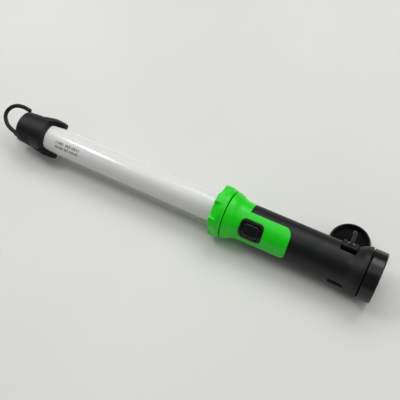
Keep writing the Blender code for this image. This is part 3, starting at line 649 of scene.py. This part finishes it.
def tongue_section(station, shrink):
    """Cross-section of a tongue as (aside, radius) points, with rounded shoulders."""
    half = tongue_half(station) - shrink
    low = TUBE_R + CLEAR
    top = between(TONGUE_RIDGE, station) - shrink
    ease = min(1.5 * MM, 0.5 * half)
    points = [(half * (step / 8 - 1), low) for step in range(16)]
    for step in range(7):
        turn = step * math.pi / 12
        points.append((half - ease * (1 - math.cos(turn)), top - ease * (1 - math.sin(turn))))
    points += [((half - ease) * (1 - step / 10), top) for step in range(1, 20)]
    for step in range(6, -1, -1):
        turn = step * math.pi / 12
        points.append((ease * (1 - math.cos(turn)) - half, top - ease * (1 - math.sin(turn))))
    return points


def tongue(deg):
    """Tongue that reaches from the ring over the tube."""
    mesh_data = bmesh.new()
    body = TONGUE_TIP - TONGUE_EDGE - TONGUE_START
    slices = [(TONGUE_START + body * step / 30, 0.0) for step in range(31)]
    for step in range(1, 5):
        turn = step * math.pi / 8
        slices.append((TONGUE_TIP - TONGUE_EDGE * (1 - math.sin(turn)), TONGUE_EDGE * (1 - math.cos(turn))))
    rings = []
    for station, shrink in slices:
        ring = []
        for aside, reach in tongue_section(station, shrink):
            angle = math.radians(deg) - math.asin(aside / reach)
            ring.append(mesh_data.verts.new((station, -reach * math.cos(angle), reach * math.sin(angle))))
        rings.append(ring)
    loft(mesh_data, rings)
    mesh_data.faces.new(rings[0])
    mesh_data.faces.new(rings[-1])
    return from_bmesh(mesh_data)


CAP_GROOVES = (-395.7 * MM, -392.2 * MM, -388.7 * MM, -385.2 * MM)
CAP_GROOVE_DEG = -15.0
CAP_GROOVE_SPREAD = 48.0
CAP_GROOVE_FADE = 10.0
CAP_GROOVE_DEPTH = 1.2 * MM
CAP_GROOVE_HALF = 0.75 * MM


def cap_radius(station, radius, angle):
    """Cap radius, with fine finger grooves on two opposite sides; bores and the ring stay round."""
    if radius < CAP_R - 3 * MM or station > RING_BACK:
        return radius
    turn = (math.degrees(angle) - CAP_GROOVE_DEG + 90.0) % 180.0 - 90.0
    fade = min(1.0, max(0.0, (CAP_GROOVE_SPREAD - abs(turn)) / CAP_GROOVE_FADE))
    nearest = min(abs(station - groove) for groove in CAP_GROOVES)
    return radius - CAP_GROOVE_DEPTH * fade * max(0.0, 1 - (nearest / CAP_GROOVE_HALF) ** 2)


def end_cap():
    """Cap over the tube's far end: finger grooves, a flared ring and two tongues."""
    floor = CAP_END + SWIVEL_SINK
    outline = [(floor, RIVET_R + CLEAR), (floor, SWIVEL_R + CLEAR), (CAP_END, SWIVEL_R + CLEAR),
               (CAP_END, 16.3 * MM), (CAP_END + 0.6 * MM, 17.0 * MM), (CAP_END + 1.4 * MM, 17.3 * MM)]
    steps = 60
    start = CAP_END + 3.0 * MM
    for step in range(steps + 1):
        station = start + (RING_BACK - start) * step / steps
        outline.append((station, CAP_NECK_R + (CAP_R - CAP_NECK_R) * step / steps))
    outline += [(-374.0 * MM, 19.5 * MM), (-369.7 * MM, CAP_RING_R), (-368.9 * MM, CAP_RING_R - 0.2 * MM),
                (RING_FRONT - 0.4 * MM, 16.6 * MM), (RING_FRONT, 15.9 * MM), (RING_FRONT, TUBE_R + CLEAR),
                (TUBE_END - 2.5 * MM, TUBE_R + CLEAR), (TUBE_END - 2.5 * MM, CAP_BORE_R),
                (CAP_END + CAP_WALL, CAP_BORE_R), (CAP_END + CAP_WALL, RIVET_R + CLEAR)]
    shell = join(turned(eased(outline), 200, cap_radius), tongue(TONGUE_DEG), tongue(TONGUE_DEG + 180.0))
    show(shell, "cap_shell", "black_satin", "wand", "end_cap")


def tube():
    """Frosted tube with eased rims."""
    outline = [(TUBE_END, TUBE_R), (TUBE_ROOT, TUBE_R), (TUBE_ROOT, TUBE_R - TUBE_WALL),
               (TUBE_END, TUBE_R - TUBE_WALL)]
    show(turned(eased(outline)), "frosted_tube", "frosted_diffuser", "wand", "diffuser_tube")


# ---------------------------------------------------------------- collar and green shell


TOOTH_DEG = 84.0
TOOTH_COUNT = 6
SCALLOP_DEPTH = 4.4 * MM
SCALLOP_END = -148.4 * MM
SCALLOP_HALF = 20.0
SCALLOP_FLOOR_R = 22.0 * MM


def collar_radius(station, radius, angle):
    """Collar radius, with scallops cut deep into its front that die out towards the seam."""
    if radius < TUBE_R + 1 * MM:
        return radius
    turn = (math.degrees(angle) - TOOTH_DEG) % (360.0 / TOOTH_COUNT)
    off_valley = abs(turn - 180.0 / TOOTH_COUNT)
    if off_valley >= SCALLOP_HALF:
        return radius
    fade = min(1.0, max(0.0, (SCALLOP_END - station) / (SCALLOP_END - COLLAR_FRONT)))
    dip = math.sqrt(1.0 - (off_valley / SCALLOP_HALF) ** 2)
    return min(radius, max(SCALLOP_FLOOR_R, TOOTH_R - SCALLOP_DEPTH * fade * dip))


def collar():
    """Screw collar with six teeth."""
    crest = COLLAR_FRONT + 1.8 * MM
    crest_len = SCALLOP_END - COLLAR_FRONT - 3.0 * MM
    outline = [(COLLAR_FRONT, TUBE_R + CLEAR), (COLLAR_FRONT, 25.6 * MM),
               (COLLAR_FRONT + 0.3 * MM, 26.3 * MM), (COLLAR_FRONT + 1.0 * MM, 26.75 * MM), (crest, TOOTH_R)]
    steps = 16
    for step in range(1, steps):
        outline.append((crest + crest_len * step / steps, TOOTH_R))
    outline += [(-149.6 * MM, 26.6 * MM), (SCALLOP_END, 26.25 * MM), (COLLAR_BACK - 1.4 * MM, COLLAR_R),
                (COLLAR_BACK - 0.6 * MM, 25.6 * MM), (COLLAR_BACK, 24.9 * MM), (COLLAR_BACK, TUBE_R + CLEAR)]
    show(turned(eased(outline), 360, collar_radius), "screw_collar", "green_shell", "wand", "collar_ring")


PANEL_START = BELL_BACK - 6.0 * MM
PANEL_SIZE = (PANEL_TIP - PANEL_START, 34.2 * MM)
PANEL_CORNER = 6.5 * MM
PANEL_BULGE = 1.2 * MM
SWITCH_SIZE = (24.4 * MM, 21.2 * MM)
SWITCH_CORNER = 5.2 * MM
SWITCH_DEPTH = 9.0 * MM
PANEL_GAP = 0.7 * MM


def front_shell():
    """Green bell behind the collar, with the panel that carries the switch."""
    face = COLLAR_BACK + 0.7 * MM
    outline = [(face, TUBE_R + CLEAR), (face, 24.3 * MM), (face + 0.9 * MM, BELL_R),
               (-141.5 * MM, 24.85 * MM), (-140.0 * MM, 24.5 * MM), (-138.6 * MM, 24.0 * MM),
               (-137.2 * MM, 23.4 * MM), (-135.9 * MM, 22.7 * MM), (-134.4 * MM, 21.95 * MM),
               (-133.0 * MM, 21.35 * MM),
               (-131.2 * MM, 20.8 * MM), (-129.4 * MM, 20.4 * MM), (-127.5 * MM, 20.2 * MM),
               (-126.0 * MM, 20.1 * MM), (BELL_BACK - CLEAR, GRIP_R + 0.1 * MM),
               (BELL_BACK - CLEAR, GRIP_BORE_R), (TUBE_ROOT + 5.0 * MM, GRIP_BORE_R),
               (TUBE_ROOT + 3.0 * MM, 12.0 * MM), (TUBE_ROOT + 2.5 * MM, 12.0 * MM),
               (TUBE_ROOT + 2.5 * MM, TUBE_R + CLEAR)]
    panel = pad(PANEL_SIZE, PANEL_CORNER, rim(-1.9 * MM, 0.0, 0.7 * MM, 5),
                (PANEL_START + PANEL_TIP) / 2, PANEL_DEG, PANEL_R, sides=40, bulge=PANEL_BULGE)
    window = pad(SWITCH_SIZE, SWITCH_CORNER, mouth(-SWITCH_DEPTH, 0.0, 0.35 * MM),
                 SWITCH_MID, SWITCH_DEG, PANEL_R, sides=24)
    shell = cut(join(turned(eased(outline)), panel), window)
    show(shell, "bell_and_panel", "green_shell", "wand", "front_shell")


# ---------------------------------------------------------------- grip


CASE_SCREW_DEG = SWITCH_DEG + 180.0
CASE_SCREWS = (-108.0 * MM, -44.0 * MM)
CASE_SCREW_FLOOR = 17.6 * MM
CASE_SCREW_TOP = 19.2 * MM
SLOT_WIDTH = 20.8 * MM
SLOT_DEPTH = 3.0 * MM


def slot_cutter(deg):
    """Cutter for a slot in the grip, with rounded corners and edges."""
    return pad((SLOT_LEN, SLOT_WIDTH), 1.2 * MM, mouth(-SLOT_DEPTH, 0.0, 0.4 * MM), SLOT_MID, deg, GRIP_R)


def handle_shell():
    """Black grip with its flared tail, the recess for the panel, two slots and screw pockets."""
    band = FLARE_R + 0.2 * MM
    outline = [(BELL_BACK, GRIP_BORE_R), (BELL_BACK, GRIP_R), (FLARE_START - 3.0 * MM, GRIP_R),
               (FLARE_START - 1.0 * MM, 20.02 * MM), (FLARE_START + 0.8 * MM, 20.35 * MM),
               (FLARE_START + 2.6 * MM, 21.05 * MM), (FLARE_START + 5.5 * MM, 22.55 * MM),
               (FLARE_TOP - 2.8 * MM, 24.45 * MM), (FLARE_TOP - 1.2 * MM, 25.25 * MM), (FLARE_TOP, 25.6 * MM),
               (-4.0 * MM, 25.7 * MM), (-3.7 * MM, band), (-1.1 * MM, band), (-0.6 * MM, 25.4 * MM),
               (-0.6 * MM, TAIL_BORE_R + CLEAR), (-7.4 * MM, TAIL_BORE_R + CLEAR), (-11.4 * MM, GRIP_BORE_R)]
    start = BELL_BACK - 9.0 * MM
    recess = pad((PANEL_TIP + PANEL_GAP - start, PANEL_SIZE[1] + 2 * PANEL_GAP), PANEL_CORNER + PANEL_GAP,
                 mouth(-2.1 * MM, 0.0, 0.4 * MM), (start + PANEL_TIP + PANEL_GAP) / 2, PANEL_DEG, GRIP_R,
                 sides=40, bulge=PANEL_BULGE)
    window = pad(SWITCH_SIZE, SWITCH_CORNER, [(0.0, -SWITCH_DEPTH), (0.0, SWITCH_DEPTH)],
                 SWITCH_MID, SWITCH_DEG, GRIP_R)
    cutters = [recess, window, slot_cutter(SLOT_DEG), slot_cutter(SLOT_DEG + 180.0)]
    for station in CASE_SCREWS:
        cutters.append(rod(3.5 * MM, around(station, 0, CASE_SCREW_FLOOR, CASE_SCREW_DEG),
                           around(station, 0, 24 * MM, CASE_SCREW_DEG)))
    show(cut(turned(eased(outline)), *cutters), "grip_shell", "black_satin", "wand", "handle_shell")


def case_screws():
    """Cross-recessed heads in the pockets at the back of the grip."""
    for index, station in enumerate(CASE_SCREWS):
        head = rod(3.1 * MM, around(station, 0, CASE_SCREW_FLOOR + CLEAR, CASE_SCREW_DEG),
                   around(station, 0, CASE_SCREW_TOP, CASE_SCREW_DEG), 0.5 * MM)
        slots = [block(size, (station, 0.0, CASE_SCREW_TOP), CASE_SCREW_DEG, 0.1 * MM, 1)
                 for size in ((4.2 * MM, 0.8 * MM, 1.4 * MM), (0.8 * MM, 4.2 * MM, 1.4 * MM))]
        show(cut(head, *slots), f"screw_head_{index + 1}", "steel_plated", "wand", f"case_screw_{index + 1}")


def switch():
    """Rounded bezel and the button pad inside it, both following the grip."""
    wall = 3.0 * MM
    lip = 0.75 * MM
    outside = rim(-3.2 * MM, lip, 0.8 * MM)
    inside = [(wall - 0.5 * MM, lip - 0.05 * MM), (wall - 0.15 * MM, lip - 0.35 * MM), (wall, lip - 0.9 * MM),
              (wall, -3.2 * MM)]
    bezel = pad((SWITCH_SIZE[0] - 0.6 * MM, SWITCH_SIZE[1] - 0.6 * MM), 5.0 * MM, outside + inside,
                SWITCH_MID, SWITCH_DEG, PANEL_R, filled=False)
    show(bezel, "bezel_frame", "black_gloss", "wand", "switch_bezel")

    pad_size = (17.2 * MM, 13.3 * MM)
    face = pad(pad_size, 3.2 * MM, rim(-2.2 * MM, 1.35 * MM, 0.9 * MM, 5), SWITCH_MID, SWITCH_DEG, PANEL_R)
    dish_size = (pad_size[0] - 4.4 * MM, pad_size[1] - 4.4 * MM)
    dish_cut = pad(dish_size, 2.2 * MM, mouth(1.05 * MM, 1.35 * MM, 0.25 * MM),
                   SWITCH_MID, SWITCH_DEG, PANEL_R)
    show(cut(face, dish_cut), "button_pad", "black_gloss", "button", "switch_button")


# ---------------------------------------------------------------- tail


FLAP_HINGE_H = 9.2 * MM
TAIL_FLOOR = TAIL_END - 2.1 * MM


def tail_cap():
    """Cap that closes the tail, with a sunk end face and the socket's hole."""
    end = TAIL_END
    outline = [(0.6 * MM, TAIL_BORE_R), (0.6 * MM, 25.3 * MM), (1.1 * MM, FLARE_R), (end - 1.8 * MM, FLARE_R),
               (end - 0.9 * MM, 25.75 * MM), (end - 0.3 * MM, 25.3 * MM), (end, 24.7 * MM), (end, 22.6 * MM),
               (end - 0.5 * MM, 21.9 * MM), (TAIL_FLOOR, 21.4 * MM), (TAIL_FLOOR, 12.4 * MM),
               (TAIL_FLOOR - 0.4 * MM, 12.0 * MM), (TAIL_FLOOR - 0.4 * MM, 11.4 * MM),
               (TAIL_FLOOR, 11.0 * MM), (TAIL_FLOOR, 6.3 * MM), (TAIL_FLOOR - 2.4 * MM, 6.3 * MM),
               (TAIL_FLOOR - 2.4 * MM, 19.4 * MM), (-6.8 * MM, 19.4 * MM), (-6.8 * MM, TAIL_BORE_R)]
    show(turned(eased(outline)), "tail_cover", "black_gloss", "wand", "tail_cap")


def charge_jack():
    """Round low-voltage socket with its centre pin."""
    end = TAIL_FLOOR
    outline = [(end - 13 * MM, 1.3 * MM), (end - 13 * MM, 5.9 * MM), (end - 0.6 * MM, 5.9 * MM),
               (end - 0.6 * MM, 3.9 * MM), (end - 1.1 * MM, 3.1 * MM), (end - 10.5 * MM, 3.1 * MM),
               (end - 10.5 * MM, 1.3 * MM)]
    show(turned(eased(outline, 0.2 * MM), 64), "socket_barrel", "black_satin", "wand", "charge_socket")
    pin = solid_turned(domed(end - 15 * MM, end - 6.6 * MM, 1.0 * MM, 0.5 * MM), 32)
    show(pin, "socket_pin", "contact_brass", "wand", "charge_pin")


def charge_flap():
    """Rubber flap over the socket, with a raised rim, a strap to its hinge and a tab."""
    base = TAIL_FLOOR + CLEAR
    disc = solid_turned([(base, 7.1 * MM), (base + 0.2 * MM, 7.4 * MM), (base + 0.9 * MM, 7.4 * MM),
                         (base + 1.1 * MM, 7.1 * MM), (base + 1.2 * MM, 6.6 * MM),
                         (base + 1.15 * MM, 5.6 * MM), (base + 0.95 * MM, 5.1 * MM)], 96)
    hinge_r = 0.65 * MM
    level = base + hinge_r
    strap = block((1.2 * MM, 6 * MM, 5 * MM), (level, 0.0, 7.4 * MM), SWITCH_DEG, 0.2 * MM)
    tab = block((1.2 * MM, 5 * MM, 4 * MM), (level, 0.0, -8.0 * MM), SWITCH_DEG, 0.4 * MM)
    barrel = rod(hinge_r, around(level, -3 * MM, FLAP_HINGE_H, SWITCH_DEG),
                 around(level, 3 * MM, FLAP_HINGE_H, SWITCH_DEG), 0.15 * MM, 24)
    show(join(disc, strap, tab, barrel), "socket_flap", "seal_rubber", "flap", "charge_flap")


# ---------------------------------------------------------------- magnetic foot


HINGE_SIDE = 7.0 * MM
HINGE_UP = 19.25 * MM
KNUCKLE_R = 2.0 * MM
HINGE_PIN_R = 0.95 * MM
HINGE_BORE_R = 1.15 * MM
DISH_CENTER = Vector((SLOT_MID - 2.9 * MM, 34.6 * MM, -14.0 * MM))
DISH_AXIS = radial(80.0)
DISH_R = 21.4 * MM
DISH_DEPTH = 9.0 * MM
MAGNET_POCKET_R = 17.4 * MM


def foot_hinge_point(station):
    return around(station, HINGE_SIDE, HINGE_UP, SLOT_DEG)


def knuckle(start, end, radius=KNUCKLE_R, ease=0.3 * MM):
    return rod(radius, foot_hinge_point(start), foot_hinge_point(end), ease)


def slot_base(deg):
    """Block that fills most of a slot, leaving a finger recess beside it."""
    size = (SLOT_LEN - 2 * CLEAR, 14.6 * MM, 2.8 * MM)
    return block(size, (SLOT_MID, 2.6 * MM, 18.8 * MM), deg, 0.5 * MM, 4)


def foot_block():
    """Hinge block in the upper slot: two knuckles and a ridge, with a gap for the arm."""
    half = SLOT_LEN / 2 - CLEAR
    gap = 2.5 * MM
    ridge = rod(0.9 * MM, around(SLOT_MID - half, 0.4 * MM, 20.0 * MM, SLOT_DEG),
                around(SLOT_MID + half, 0.4 * MM, 20.0 * MM, SLOT_DEG))
    body = join(slot_base(SLOT_DEG), ridge, knuckle(SLOT_MID - half, SLOT_MID + half))
    pocket = block((2 * gap, 9.4 * MM, 14 * MM), (SLOT_MID, 6.9 * MM, 20.0 * MM), SLOT_DEG)
    bore = knuckle(SLOT_MID - 2 * half, SLOT_MID + 2 * half, HINGE_BORE_R)
    show(cut(body, pocket, bore), "hinge_block", "black_satin", "wand", "foot_block")
    pin = knuckle(SLOT_MID - half + 0.4 * MM, SLOT_MID + half - 0.4 * MM, HINGE_PIN_R, 0.2 * MM)
    show(pin, "hinge_pin", "steel_plated", "wand", "foot_hinge_pin")


def slot_cover():
    """Plain ridged block in the lower slot."""
    half = SLOT_LEN / 2 - CLEAR
    ridges = [rod(1.3 * MM, around(SLOT_MID - half, side, 19.9 * MM, SLOT_DEG + 180.0),
                  around(SLOT_MID + half, side, 19.9 * MM, SLOT_DEG + 180.0), 0.4 * MM)
              for side in (0.2 * MM, 6.4 * MM)]
    show(join(slot_base(SLOT_DEG + 180.0), *ridges), "ridged_cover", "black_satin", "wand", "slot_cover")


def foot_arm():
    """Narrow swan-neck arm from the hinge to the boss in the middle of the dish."""
    hinge = foot_hinge_point(SLOT_MID)
    boss_top = DISH_CENTER - DISH_AXIS * 2.2 * MM
    boss_low = DISH_CENTER - DISH_AXIS * 5.6 * MM
    guide = [hinge, hinge + Vector((0.0, 6.5 * MM, 2.4 * MM)),
             hinge + Vector((-0.6 * MM, 12.5 * MM, 0.6 * MM)),
             hinge + Vector((-1.8 * MM, 17.2 * MM, -6.5 * MM)),
             boss_top + DISH_AXIS * 6.0 * MM, boss_top - DISH_AXIS * 1.0 * MM]
    bar = swept(smooth_path(guide), lambda travelled: 1.9 * MM)
    eye = knuckle(SLOT_MID - 2.1 * MM, SLOT_MID + 2.1 * MM)
    boss = rod(4.2 * MM, boss_low, boss_top, 0.5 * MM, 64)
    arm = cut(join(bar, eye, boss), knuckle(SLOT_MID - 4 * MM, SLOT_MID + 4 * MM, HINGE_BORE_R),
              rod(1.5 * MM, boss_low - DISH_AXIS * 2 * MM, boss_low + DISH_AXIS * 2.6 * MM))
    show(arm, "swan_arm", "black_satin", "foot", "foot_arm")


def dish():
    """Round dish, open towards the lamp, with a dull liner, a base plate and its screw."""
    floor = -5.9 * MM
    outline = [(floor, 2.2 * MM), (floor, 16.6 * MM), (-5.4 * MM, 17.6 * MM), (-4.6 * MM, 18.2 * MM),
               (-2.8 * MM, 18.9 * MM), (-0.9 * MM, 19.4 * MM), (-0.2 * MM, 20.0 * MM),
               (0.0, 20.7 * MM), (-0.5 * MM, DISH_R), (-2.4 * MM, DISH_R),
               (-3.0 * MM, 20.9 * MM), (-DISH_DEPTH + 0.6 * MM, 20.1 * MM), (-DISH_DEPTH, 19.5 * MM),
               (-DISH_DEPTH, MAGNET_POCKET_R), (-7.4 * MM, MAGNET_POCKET_R), (-7.4 * MM, 2.2 * MM)]
    shell = turned(eased(outline), 128)
    show(aim(shell, DISH_AXIS, DISH_CENTER), "dish_shell", "black_satin", "dish", "foot_dish")
    pad_top = floor + 1.0 * MM
    liner = turned(eased([(floor - 0.1 * MM, 4.7 * MM), (floor - 0.1 * MM, 17.2 * MM), (pad_top, 18.1 * MM),
                          (pad_top, 4.7 * MM)]), 96)
    show(aim(liner, DISH_AXIS, DISH_CENTER), "dish_liner", "seal_rubber", "dish", "foot_dish")

    plate_r = MAGNET_POCKET_R - CLEAR
    plate = [(-DISH_DEPTH + 0.1 * MM, 4.4 * MM), (-DISH_DEPTH + 0.1 * MM, plate_r),
             (-DISH_DEPTH + 1.3 * MM, plate_r), (-DISH_DEPTH + 1.3 * MM, 4.4 * MM)]
    plate = turned(eased(plate, 0.2 * MM), 128)
    show(aim(plate, DISH_AXIS, DISH_CENTER), "magnet_plate", "magnet_face", "dish", "foot_magnet")

    screw = solid_turned([(-8.6 * MM, 2.9 * MM), (-8.5 * MM, 3.4 * MM), (-8.2 * MM, 3.6 * MM),
                          (-7.7 * MM, 3.6 * MM), (-7.7 * MM, 1.2 * MM), (-3.4 * MM, 1.2 * MM)], 48)
    show(aim(screw, DISH_AXIS, DISH_CENTER), "dish_screw", "steel_plated", "foot", "foot_screw")


# ---------------------------------------------------------------- hook


# Points in the hook's plane, in millimetres (before the cap's end face, out from the axis)
HOOK_PIVOT = (-3.8, -11.2)
HOOK_BAR_R = 2.3 * MM
HOOK_GUIDE = (HOOK_PIVOT, (-10.0, -10.3), (-14.3, -9.2), (-18.3, -7.8), (-22.0, -5.9), (-25.2, -3.0),
              (-27.9, 0.4), (-29.2, 4.2), (-29.0, 8.3), (-26.9, 12.6), (-23.6, 15.9), (-19.6, 18.0),
              (-15.1, 19.0), (-10.3, 19.3), (-5.1, 18.8), (-0.5, 18.0))
EYE_R = 2.9 * MM
EAR_R = 3.1 * MM
EAR_SIDE = 3.9 * MM
EAR_THICK = 2.2 * MM
PIN_R = 1.15 * MM
PIN_BORE_R = 1.35 * MM


def hook_point(reach, out):
    """Point in the hook's plane, in millimetres before the cap's end face and out from the axis."""
    return Vector((CAP_END + reach * MM, 0.0, 0.0)) + radial(HOOK_DEG) * out * MM


def hook_pin_line(reach):
    """Two ends of a line through the hook's pin, reaching the same distance to each side."""
    side = radial(VIEW_DEG) * reach
    return hook_point(*HOOK_PIVOT) - side, hook_point(*HOOK_PIVOT) + side


def hook():
    """Round-bar hanging hook on a pin, curling back beside the cap."""
    path = smooth_path([hook_point(reach, out) for reach, out in HOOK_GUIDE], 5)
    bar = swept(path, round_tipped(path, HOOK_BAR_R, 1.2 * MM))
    eye = rod(EYE_R, *hook_pin_line(2.3 * MM), 0.4 * MM, 56)
    bore = rod(PIN_BORE_R, *hook_pin_line(6 * MM))
    show(cut(join(bar, eye), bore), "hook_bar", "black_satin", "hanging_hook", "hook")
    show(rod(PIN_R, *hook_pin_line(4.9 * MM)), "hook_axle", "steel_plated", "hook_boss", "hook_pin")


def hook_swivel():
    """Disc sunk in the cap's end face, with two ears, and the rivet that holds it."""
    face = CAP_END + SWIVEL_SINK - CLEAR
    disc = solid_turned([(face, SWIVEL_R), (CAP_END + 0.4 * MM, SWIVEL_R),
                         (CAP_END + 0.1 * MM, SWIVEL_R - 0.15 * MM), (CAP_END, SWIVEL_R - 0.5 * MM)], 128)
    ears = []
    for side in (-EAR_SIDE, EAR_SIDE):
        center = hook_point(*HOOK_PIVOT) + radial(VIEW_DEG) * side
        half = radial(VIEW_DEG) * EAR_THICK / 2
        ears.append(rod(EAR_R, center - half, center + half, 0.25 * MM, 56))
        foot = (CAP_END - 1.7 * MM, side, HOOK_PIVOT[1] * MM)
        ears.append(block((4.2 * MM, EAR_THICK, 1.8 * EAR_R), foot, HOOK_DEG, 0.25 * MM))
    bore = rod(PIN_BORE_R, *hook_pin_line(7 * MM))
    hole = rod(RIVET_R + CLEAR, (face + 1 * MM, 0, 0), (CAP_END - 1 * MM, 0, 0))
    show(cut(join(disc, *ears), bore, hole), "swivel_disc", "black_satin", "hook_boss", "hook_swivel")
    top = CAP_END - CLEAR
    inner = CAP_END + CAP_WALL + CLEAR
    rivet = solid_turned([(CAP_END - 1.5 * MM, 3.2 * MM), (CAP_END - 1.4 * MM, 3.9 * MM),
                          (CAP_END - 1.1 * MM, 4.3 * MM), (CAP_END - 0.8 * MM, 4.4 * MM),
                          (top, 4.4 * MM), (top, RIVET_R), (inner, RIVET_R), (inner, 6.0 * MM),
                          (inner + 1.5 * MM, 6.0 * MM)], 64)
    show(rivet, "rivet_head", "steel_plated", "hook_boss", "swivel_rivet")


# ---------------------------------------------------------------- stage


def add_floor():
    mesh_data = bmesh.new()
    bmesh.ops.create_grid(mesh_data, x_segments=1, y_segments=1, size=4.0)
    floor = from_bmesh(mesh_data)
    floor.name = "floor"
    floor.location.z = cad_low.z
    made, tree, shader = surface("floor_paper", (0.66, 0.66, 0.63), 0.75)
    tinted(tree, shader, noise(tree, 400 * MM), (0.64, 0.64, 0.61), (0.68, 0.68, 0.65))
    floor.data.materials.append(made)
    bpy.context.scene.collection.objects.link(floor)


def add_area_light(name, place, target, size, power, color=(1.0, 1.0, 1.0)):
    lamp = bpy.data.lights.new(name, "AREA")
    lamp.shape = "RECTANGLE"
    lamp.size, lamp.size_y = size
    lamp.energy = power
    lamp.color = color
    holder = bpy.data.objects.new(name, lamp)
    holder.location = place
    holder.rotation_euler = (Vector(target) - Vector(place)).to_track_quat("-Z", "Y").to_euler()
    bpy.context.scene.collection.objects.link(holder)


def add_lights():
    add_area_light("ceiling_strip", (-0.83, -0.07, 1.5), (-0.1, 0.0, 0.0), (0.46, 0.12), 4.6)
    add_area_light("window_behind", (0.1, 1.0, 1.55), (0.05, 0.0, 0.0), (1.3, 0.9), 9.5)
    add_area_light("white_ceiling", (0.0, 0.5, 2.6), (0.0, 0.3, 0.0), (3.6, 3.0), 36.0)
    add_area_light("wall_left", (-2.3, 0.5, 1.0), (0.0, 0.0, 0.0), (1.8, 1.6), 20.0)
    add_area_light("wall_right", (2.3, 0.3, 1.0), (0.0, 0.0, 0.0), (1.8, 1.6), 20.0)
    world = bpy.data.worlds.new("studio")
    world.use_nodes = True
    world.node_tree.nodes["Background"].inputs["Color"].default_value = (0.97, 0.99, 1.0, 1.0)
    world.node_tree.nodes["Background"].inputs["Strength"].default_value = 0.17
    bpy.context.scene.world = world
    bpy.context.scene.view_settings.view_transform = "Standard"


def add_camera():
    """Camera above and in front of the lamp's tail, looking down at the middle of the lamp."""
    camera = bpy.data.objects.new("camera", bpy.data.cameras.new("camera"))
    camera.data.lens = 55.04
    camera.data.sensor_width = 36.0
    camera.location = AXIS + Vector((-9.436, -321.248, 518.677)) * MM
    target = AXIS + Vector((-179.576, 1.895, 0.0)) * MM
    camera.rotation_euler = (target - camera.location).to_track_quat("-Z", "Y").to_euler()
    bpy.context.scene.collection.objects.link(camera)
    bpy.context.scene.camera = camera


add_camera()
add_lights()
add_floor()
dress_cad_nodes()
for build in (end_cap, tube, collar, front_shell, handle_shell, case_screws, switch, tail_cap, charge_jack,
              charge_flap, foot_block, slot_cover, foot_arm, dish, hook, hook_swivel):
    build()
